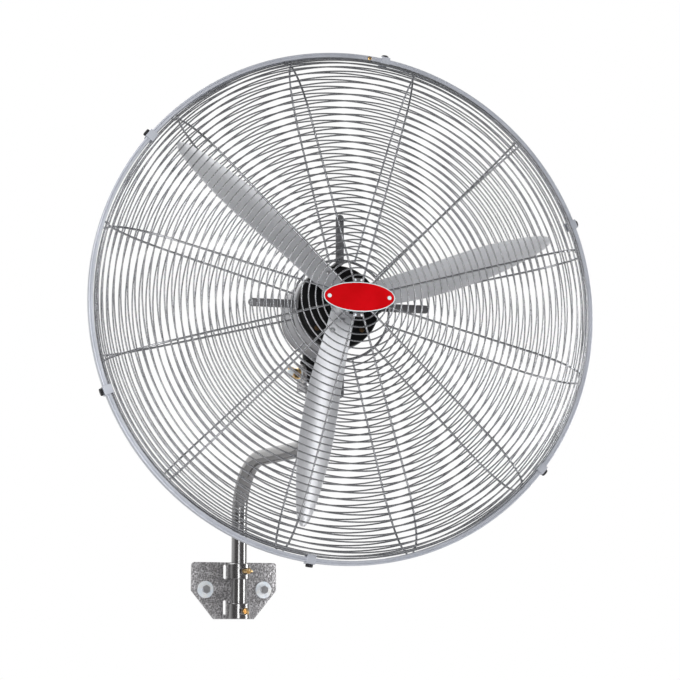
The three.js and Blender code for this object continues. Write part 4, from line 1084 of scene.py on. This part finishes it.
neck_mesh = cut(welded(neck_body, moved(socket, AT_POST)),
                moved(bar(SOCKET_BORE, 31 * MM, 70 * MM), AT_POST),
                moved(bar(GLAND_BORE, 10 * MM, 47 * MM, 24), AT_GLAND))
neck = softened(part("neck", neck_mesh, black_paint, AXLE, 30), 0.5 * MM, 50)
seat(neck, "head", "black_paint", "neck_housing")

# %% Neck cover and gland
PLUG, COVER_SEAT = NECK_BORE - 0.3 * MM, NECK_END + 0.3 * MM
GLAND, CORD_BORE = 6.5 * MM, 3.5 * MM
cover_mesh = turned([
    (0, 242 * MM), (PLUG, 242 * MM), (PLUG, COVER_SEAT), (NECK_RADIUS, COVER_SEAT),
    (NECK_RADIUS, 249 * MM), *arc(36 * MM, 249 * MM, 6 * MM, 15, 90, 6), (20 * MM, 255 * MM),
    (19 * MM, 254.2 * MM), (0, 254.2 * MM)], 96)
seat(part("back_cover", cover_mesh, black_paint, AXLE, 30), "head", "black_paint", "neck_cover")

gland_cap = turned([(0, 46 * MM), (8.2 * MM, 46 * MM), (8.0 * MM, 49 * MM), (6.8 * MM, 50.6 * MM),
                    (5.5 * MM, 51 * MM), (0, 51 * MM)], 40)
gland_body = welded(bar(GLAND, 13 * MM, 42 * MM, 32), hexagon(10 * MM, 40.5 * MM, 46.5 * MM), gland_cap)
gland_mesh = cut(gland_body, bar(CORD_BORE, 12 * MM, 52 * MM, 24))
seat(part("gland", gland_mesh, black_plastic, AXLE @ AT_GLAND), "head", "black_plastic", "cord_gland")

# %% [markdown]
# # The pole
#
# The pole is steel tube bent on two formers. Its centre line is straight runs with two
# quarter circles, and a round section with a bore is carried along it.

# %% Pole
POLE_Y, POLE_RADIUS, POLE_WALL = -27 * MM, 14 * MM, 2 * MM
POLE_HOLE = POLE_RADIUS + 0.3 * MM      # of the fork's sleeve and of the collars
POLE_LOW, POLE_TOP, RUN_Z = -53 * MM, 320 * MM, 230 * MM
LOW_BEND, HIGH_BEND = 100 * MM, 70 * MM


def pole_line(low_steps=24, high_steps=20):
    """The centre line, (y, z), with the direction that it takes there, in degrees."""
    line = [(POLE_Y, POLE_LOW, 90.0)]
    for k in range(low_steps + 1):
        turned_by = 90 * k / low_steps
        a = math.radians(turned_by)
        line.append((POLE_Y - LOW_BEND + LOW_BEND * math.cos(a),
                     RUN_Z - LOW_BEND + LOW_BEND * math.sin(a), 90 + turned_by))
    for k in range(high_steps + 1):
        turned_by = 90 * k / high_steps
        a = math.radians(turned_by)
        line.append((NECK_Y + HIGH_BEND - HIGH_BEND * math.sin(a),
                     RUN_Z + HIGH_BEND - HIGH_BEND * math.cos(a), 180 - turned_by))
    return line + [(NECK_Y, POLE_TOP, 90.0)]


def tube_along(line, radius, wall_thick, sides=48):
    """Carries a round section along a line of (y, z, direction), outside there and inside back."""
    bm = bmesh.new()

    def loop(y, z, heading, r):
        a = math.radians(heading)
        across = Vector((0, -math.sin(a), math.cos(a)))
        return [bm.verts.new(Vector((r * math.cos(t), y, z)) + across * (r * math.sin(t)))
                for t in (2 * math.pi * k / sides for k in range(sides))]

    loops = [loop(*stop, radius) for stop in line]
    loops += [loop(*stop, radius - wall_thick) for stop in reversed(line)]
    skinned(bm, loops + loops[:1])
    return mesh_of(bm)


pole_mesh = tube_along(pole_line(), POLE_RADIUS, POLE_WALL)
seat(softened(part("pole_bent", pole_mesh, pole_enamel), 0.4 * MM, 60), "pole", "black_paint", "pole_tube")

# %% [markdown]
# # The tilt joint
#
# A fork is pressed over the end of the pole. Between its cheeks turns the knuckle, and a
# bolt with a brass wing nut clamps them, so the head keeps the tilt that it is given.

# %% Fork
TILT_Z, LUG, BOLT, BOLT_BORE = 350 * MM, 15 * MM, 5 * MM, 5.3 * MM
CHEEK_IN, CHEEK_OUT, CHEEK_DROP = 22.3 * MM, 27.3 * MM, 27 * MM
SLEEVE, SLEEVE_LOW, SLEEVE_TOP = 17 * MM, 308 * MM, 323 * MM
AT_TILT = shift(0, NECK_Y, TILT_Z)
ON_POLE = shift(0, NECK_Y, 0)
bolt_hole = moved(bar(BOLT_BORE, -34 * MM, 34 * MM, 32), AT_TILT @ ALONG_X)


def cheek(x0, x1):
    """A plate with a round top, stood up across X."""
    side = pressed([[(-LUG, -CHEEK_DROP), (LUG, -CHEEK_DROP), *arc(0, 0, LUG, 0, 180, 24)]], x1 - x0)
    stand = Matrix(((0, 0, 1, (x0 + x1) / 2), (1, 0, 0, 0), (0, 1, 0, 0), (0, 0, 0, 1)))
    return moved(side, AT_TILT @ stand)


sleeve = turned([(0, SLEEVE_LOW), (SLEEVE - 0.8 * MM, SLEEVE_LOW), (SLEEVE, SLEEVE_LOW + 0.8 * MM),
                 (SLEEVE, SLEEVE_TOP), (0, SLEEVE_TOP)], 60)
bridge = block(-CHEEK_OUT, CHEEK_OUT, NECK_Y - LUG, NECK_Y + LUG, POLE_TOP, 326 * MM)
cheeks = cheek(-CHEEK_OUT, -CHEEK_IN), cheek(CHEEK_IN, CHEEK_OUT)
pole_seat = moved(bar(POLE_HOLE, SLEEVE_LOW - 2 * MM, POLE_TOP + 0.3 * MM, 60), ON_POLE)
fork_mesh = cut(welded(moved(sleeve, ON_POLE), bridge, *cheeks), pole_seat, bolt_hole.copy())
fork = softened(part("fork", fork_mesh, hammered, sharp=30), 0.5 * MM, 45)
seat(fork, "pole", "hammered_paint", "tilt_fork")

# %% Knuckle and bolt
FLANGE, FLANGE_LOW, FLANGE_HIGH = 26 * MM, 367.5 * MM, 372 * MM
POST, POST_TOP, BARREL, WEB_X, WEB_Y = 11 * MM, 414.4 * MM, 14 * MM, 22 * MM, 12 * MM
flange = turned([(0, FLANGE_LOW), (FLANGE - MM, FLANGE_LOW), (FLANGE, FLANGE_LOW + MM),
                 (FLANGE, FLANGE_HIGH - MM), (FLANGE - MM, FLANGE_HIGH), (0, FLANGE_HIGH)], 60)
knuckle_mesh = cut(welded(
    moved(bar(BARREL, -CHEEK_IN + 0.3 * MM, CHEEK_IN - 0.3 * MM, 60), AT_TILT @ ALONG_X),
    block(-WEB_X, WEB_X, NECK_Y - WEB_Y, NECK_Y + WEB_Y, TILT_Z, FLANGE_LOW + MM),
    moved(flange, ON_POLE), moved(bar(POST, FLANGE_HIGH - MM, POST_TOP), ON_POLE)), bolt_hole)
knuckle = softened(part("knuckle", knuckle_mesh, black_paint, sharp=30), 0.5 * MM, 45)
seat(knuckle, "neck", "black_paint", "tilt_knuckle")

BOLT_TIP, BOLT_SEAT, FINE_PITCH = -49.3 * MM, CHEEK_OUT + 0.3 * MM, 1.25 * MM
BOLT_HEAD, BOLT_HEAD_HIGH = 9.8 * MM, 6.7 * MM
bolt_mesh = welded(bar(BOLT, -34 * MM, BOLT_SEAT + 0.7 * MM),
                   threaded(0.99 * BOLT, BOLT_TIP, -33 * MM, FINE_PITCH),
                   hexagon(BOLT_HEAD, BOLT_SEAT, BOLT_SEAT + BOLT_HEAD_HIGH))
seat(part("pivot_bolt", bolt_mesh, zinc, AT_TILT @ ALONG_X), "pole", "zinc", "tilt_bolt")
RING, RING_LOW, RING_HIGH, BREAK = 11 * MM, -29.6 * MM, -27.6 * MM, 0.3 * MM
tilt_washer_mesh = turned([
    (BOLT_BORE, RING_LOW), (RING - BREAK, RING_LOW), (RING, RING_LOW + BREAK), (RING, RING_HIGH - BREAK),
    (RING - BREAK, RING_HIGH), (BOLT_BORE, RING_HIGH)], 48)
seat(part("pivot_washer", tilt_washer_mesh, zinc, AT_TILT @ ALONG_X), "pole", "zinc", "tilt_washer")

# %% Wing nut
WING_SEAT, WING_HIGH, WING_THICK = -29.9 * MM, 12 * MM, 3 * MM
WING_SPAN, WING_ROOT, WING_TIP = 21 * MM, 5.5 * MM, 9 * MM


def cubic(a, b, c, d, steps=12):
    """Points on a curve from a to d that leaves towards b and arrives from c, without a."""
    return [tuple((1 - t) ** 3 * p + 3 * t * (1 - t) ** 2 * q + 3 * t * t * (1 - t) * r + t ** 3 * s
                  for p, q, r, s in zip(a, b, c, d)) for t in (k / steps for k in range(1, steps + 1))]


wing_start, wing_end = (0.4 * WING_SPAN, WING_ROOT), (0.95 * WING_SPAN, 0)
wing_outline = [
    (0, WING_ROOT), wing_start,
    *cubic(wing_start, (0.7 * WING_SPAN, WING_TIP), (1.05 * WING_SPAN, WING_TIP), wing_end),
    *cubic(wing_end, (0.9 * WING_SPAN, -WING_ROOT), (0.6 * WING_SPAN, -WING_ROOT), (0, -WING_ROOT))]


def leaf(degrees):
    """One wing, stood on the nut at that angle round the bolt."""
    lay = Matrix.Rotation(math.radians(degrees), 4, "X") @ Matrix.Rotation(math.pi / 2, 4, "Z")
    return moved(pressed([wing_outline], WING_THICK, 0.8 * MM), shift(WING_SEAT - 7.2 * MM, 0, 0) @ lay)


nut_body = turned([
    (BOLT_BORE, WING_SEAT - WING_HIGH), (6.2 * MM, WING_SEAT - WING_HIGH), (6.9 * MM, WING_SEAT - 11.2 * MM),
    (7.5 * MM, WING_SEAT - 5.2 * MM), (8.5 * MM, WING_SEAT - 4.2 * MM), (8.5 * MM, WING_SEAT),
    (BOLT_BORE, WING_SEAT)], 40)
bore = moved(bar(BOLT_BORE, -46 * MM, -28 * MM, 32), ALONG_X)
wing_mesh = cut(welded(moved(nut_body, ALONG_X), leaf(35), leaf(215)), bore)
seat(part("wing_nut_cast", wing_mesh, brass, AT_TILT), "wing_nut", "brass", "tilt_wing_nut")

# %% [markdown]
# # The wall bracket
#
# The plate is cut from five millimetre steel and hangs on two bolts with wide washers. Two
# collars are welded to its middle and take the pole. A brass thumbscrew through the boss
# of each collar stops the pole from turning, and two pairs of slots let straps through.

# %% Plate, bolts and washers
PLATE_HALF, PLATE_TOP, PLATE_FOOT, FOOT_HALF, CORNER = 82.5 * MM, 49 * MM, -53 * MM, 39 * MM, 6 * MM
PLATE_THICK, SHOULDER = 5 * MM, -2 * MM
SLOT_X, SLOT_Z, SLOT_HALF, SLOT_REACH = 18.4 * MM, 32 * MM, 3 * MM, 10 * MM
BOLT_X, WALL_BORE, WASHER = 56.5 * MM, 4.3 * MM, 15.5 * MM
WASHER_BACK, WASHER_FRONT = -5.3 * MM, -7.8 * MM
WALL_BOLT, WALL_HEAD, HEAD_BACK, HEAD_FRONT = 4 * MM, 7.5 * MM, -8.1 * MM, -13.6 * MM


def slot(x, z):
    """An upright slot with round ends."""
    return [*arc(x, z + SLOT_REACH, SLOT_HALF, 0, 180, 10), *arc(x, z - SLOT_REACH, SLOT_HALF, 180, 360, 10)]


outline = [(-FOOT_HALF, PLATE_FOOT), (FOOT_HALF, PLATE_FOOT), (PLATE_HALF, SHOULDER),
           *arc(PLATE_HALF - CORNER, PLATE_TOP - CORNER, CORNER, 0, 90, 8),
           *arc(-PLATE_HALF + CORNER, PLATE_TOP - CORNER, CORNER, 90, 180, 8), (-PLATE_HALF, SHOULDER)]
openings = [slot(x, z) for x in (-SLOT_X, SLOT_X) for z in (-SLOT_Z, SLOT_Z)]
openings += [round_hole(x, 0, WALL_BORE) for x in (-BOLT_X, BOLT_X)]
plate_mesh = moved(pressed([outline, *openings], PLATE_THICK, 0.7 * MM),
                   shift(0, -PLATE_THICK / 2, 0) @ Matrix.Rotation(math.pi / 2, 4, "X"))
seat(part("plate", plate_mesh, hammered, sharp=30), "wall_bracket", "hammered_paint", "wall_plate")

washer_mesh = turned([(WALL_BORE, WASHER_FRONT), (WASHER - 0.6 * MM, WASHER_FRONT),
                      (WASHER, WASHER_FRONT + 0.6 * MM), (WASHER, WASHER_BACK), (WALL_BORE, WASHER_BACK)], 64)
bolt_shape = welded(hexagon(WALL_HEAD, HEAD_FRONT, HEAD_BACK), bar(WALL_BOLT, -9 * MM, -0.3 * MM, 32))
for side, x in (("left", -BOLT_X), ("right", BOLT_X)):
    at_bolt = shift(x, 0, 0) @ ALONG_Y
    washer = part(f"wide_washer_{side}", washer_mesh.copy(), zinc, at_bolt)
    seat(washer, "wall_bracket", "zinc", f"washer_{side}")
    bolt = part(f"hex_bolt_{side}", bolt_shape.copy(), bare_steel, at_bolt)
    seat(bolt, "wall_bracket", "zinc", f"wall_bolt_{side}")

# %% Collars and thumbscrews
COLLAR, COLLAR_HALF = 21 * MM, 14 * MM
BOSS_RADIUS, BOSS_TIP, BOSS_ROOT = 7 * MM, -30 * MM, -17 * MM
SCREW_BORE, SCREW_RADIUS, SCREW_TIP = 3.9 * MM, 3.55 * MM, -41.3 * MM     # of the thumbscrews
PADDLE, PADDLE_HALF = 6.5 * MM, 1.6 * MM


def collar_mesh(z):
    """A turned collar with the boss for its thumbscrew in front and its weld foot behind."""
    ring = turned([(0, -COLLAR_HALF), (COLLAR - MM, -COLLAR_HALF), (COLLAR, MM - COLLAR_HALF),
                   (COLLAR, COLLAR_HALF - MM), (COLLAR - MM, COLLAR_HALF), (0, COLLAR_HALF)], 72)
    screw_boss = turned([(0, BOSS_TIP), (BOSS_RADIUS - 0.8 * MM, BOSS_TIP), (BOSS_RADIUS, BOSS_TIP + MM),
                         (BOSS_RADIUS, BOSS_ROOT), (0, BOSS_ROOT)], 40)
    weld_foot = block(-COLLAR_HALF, COLLAR_HALF, 15 * MM, 21.7 * MM,
                      2 * MM - COLLAR_HALF, COLLAR_HALF - 2 * MM)
    screw_hole = moved(bar(SCREW_BORE, -32 * MM, -10 * MM, 24), ALONG_Y)
    pole_hole = bar(POLE_HOLE, -COLLAR_HALF - MM, COLLAR_HALF + MM, 72)
    mesh = cut(welded(ring, moved(screw_boss, ALONG_Y), weld_foot), screw_hole, pole_hole)
    return moved(mesh, shift(0, POLE_Y, z))


def thumbscrew_mesh(z, neck, degrees):
    """A thumbscrew whose neck starts at that y, with its paddle turned by that many degrees."""
    shank = threaded(SCREW_RADIUS, neck - MM, SCREW_TIP, FINE_PITCH)
    throat = turned([(0, neck - 3 * MM), (4.6 * MM, neck - 3 * MM), (5.2 * MM, neck - 2.4 * MM),
                     (5.2 * MM, neck - 0.5 * MM), (4.7 * MM, neck), (0, neck)], 32)
    rim = [(0, -PADDLE_HALF), (PADDLE - 0.8 * MM, -PADDLE_HALF), (PADDLE, -0.7 * MM), (PADDLE, 0.7 * MM),
           (PADDLE - 0.8 * MM, PADDLE_HALF), (0, PADDLE_HALF)]
    at_paddle = shift(0, neck - PADDLE, 0) @ Matrix.Rotation(math.radians(degrees), 4, "Y")
    mesh = welded(moved(shank, ALONG_Y), moved(throat, ALONG_Y), moved(turned(rim, 40), at_paddle))
    return moved(mesh, shift(0, 0, z))


for level, z, neck, degrees in (("upper", 32 * MM, -71.3 * MM, 20), ("lower", -39 * MM, -58.3 * MM, 70)):
    clamp = softened(part(f"{level}_clamp", collar_mesh(z), pole_enamel, sharp=30), 0.5 * MM, 50)
    seat(clamp, "wall_bracket", "hammered_paint", f"{level}_collar")
    thumb = part(f"{level}_thumb", thumbscrew_mesh(z, neck, degrees), brass)
    seat(thumb, f"{level}_screw", "brass", f"{level}_thumbscrew")

# %% [markdown]
# # What stays hidden
#
# The stack, its winding, the rotor, the bearings, the capacitor and the swivel nut are
# closed in by the casing and the neck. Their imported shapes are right, so they only get
# their finishes.

# %% Finishes for the inner parts
inside = {"stator_core": bare_steel, "stator_winding": copper, "rotor_core": cast_alloy,
          "front_bearing": bare_steel, "rear_bearing": bare_steel, "run_capacitor": black_plastic,
          "swivel_nut": zinc}
for name, finish in inside.items():
    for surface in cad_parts[name].material_slots:
        surface.material = finish
print("dressed inner parts:", len(inside))
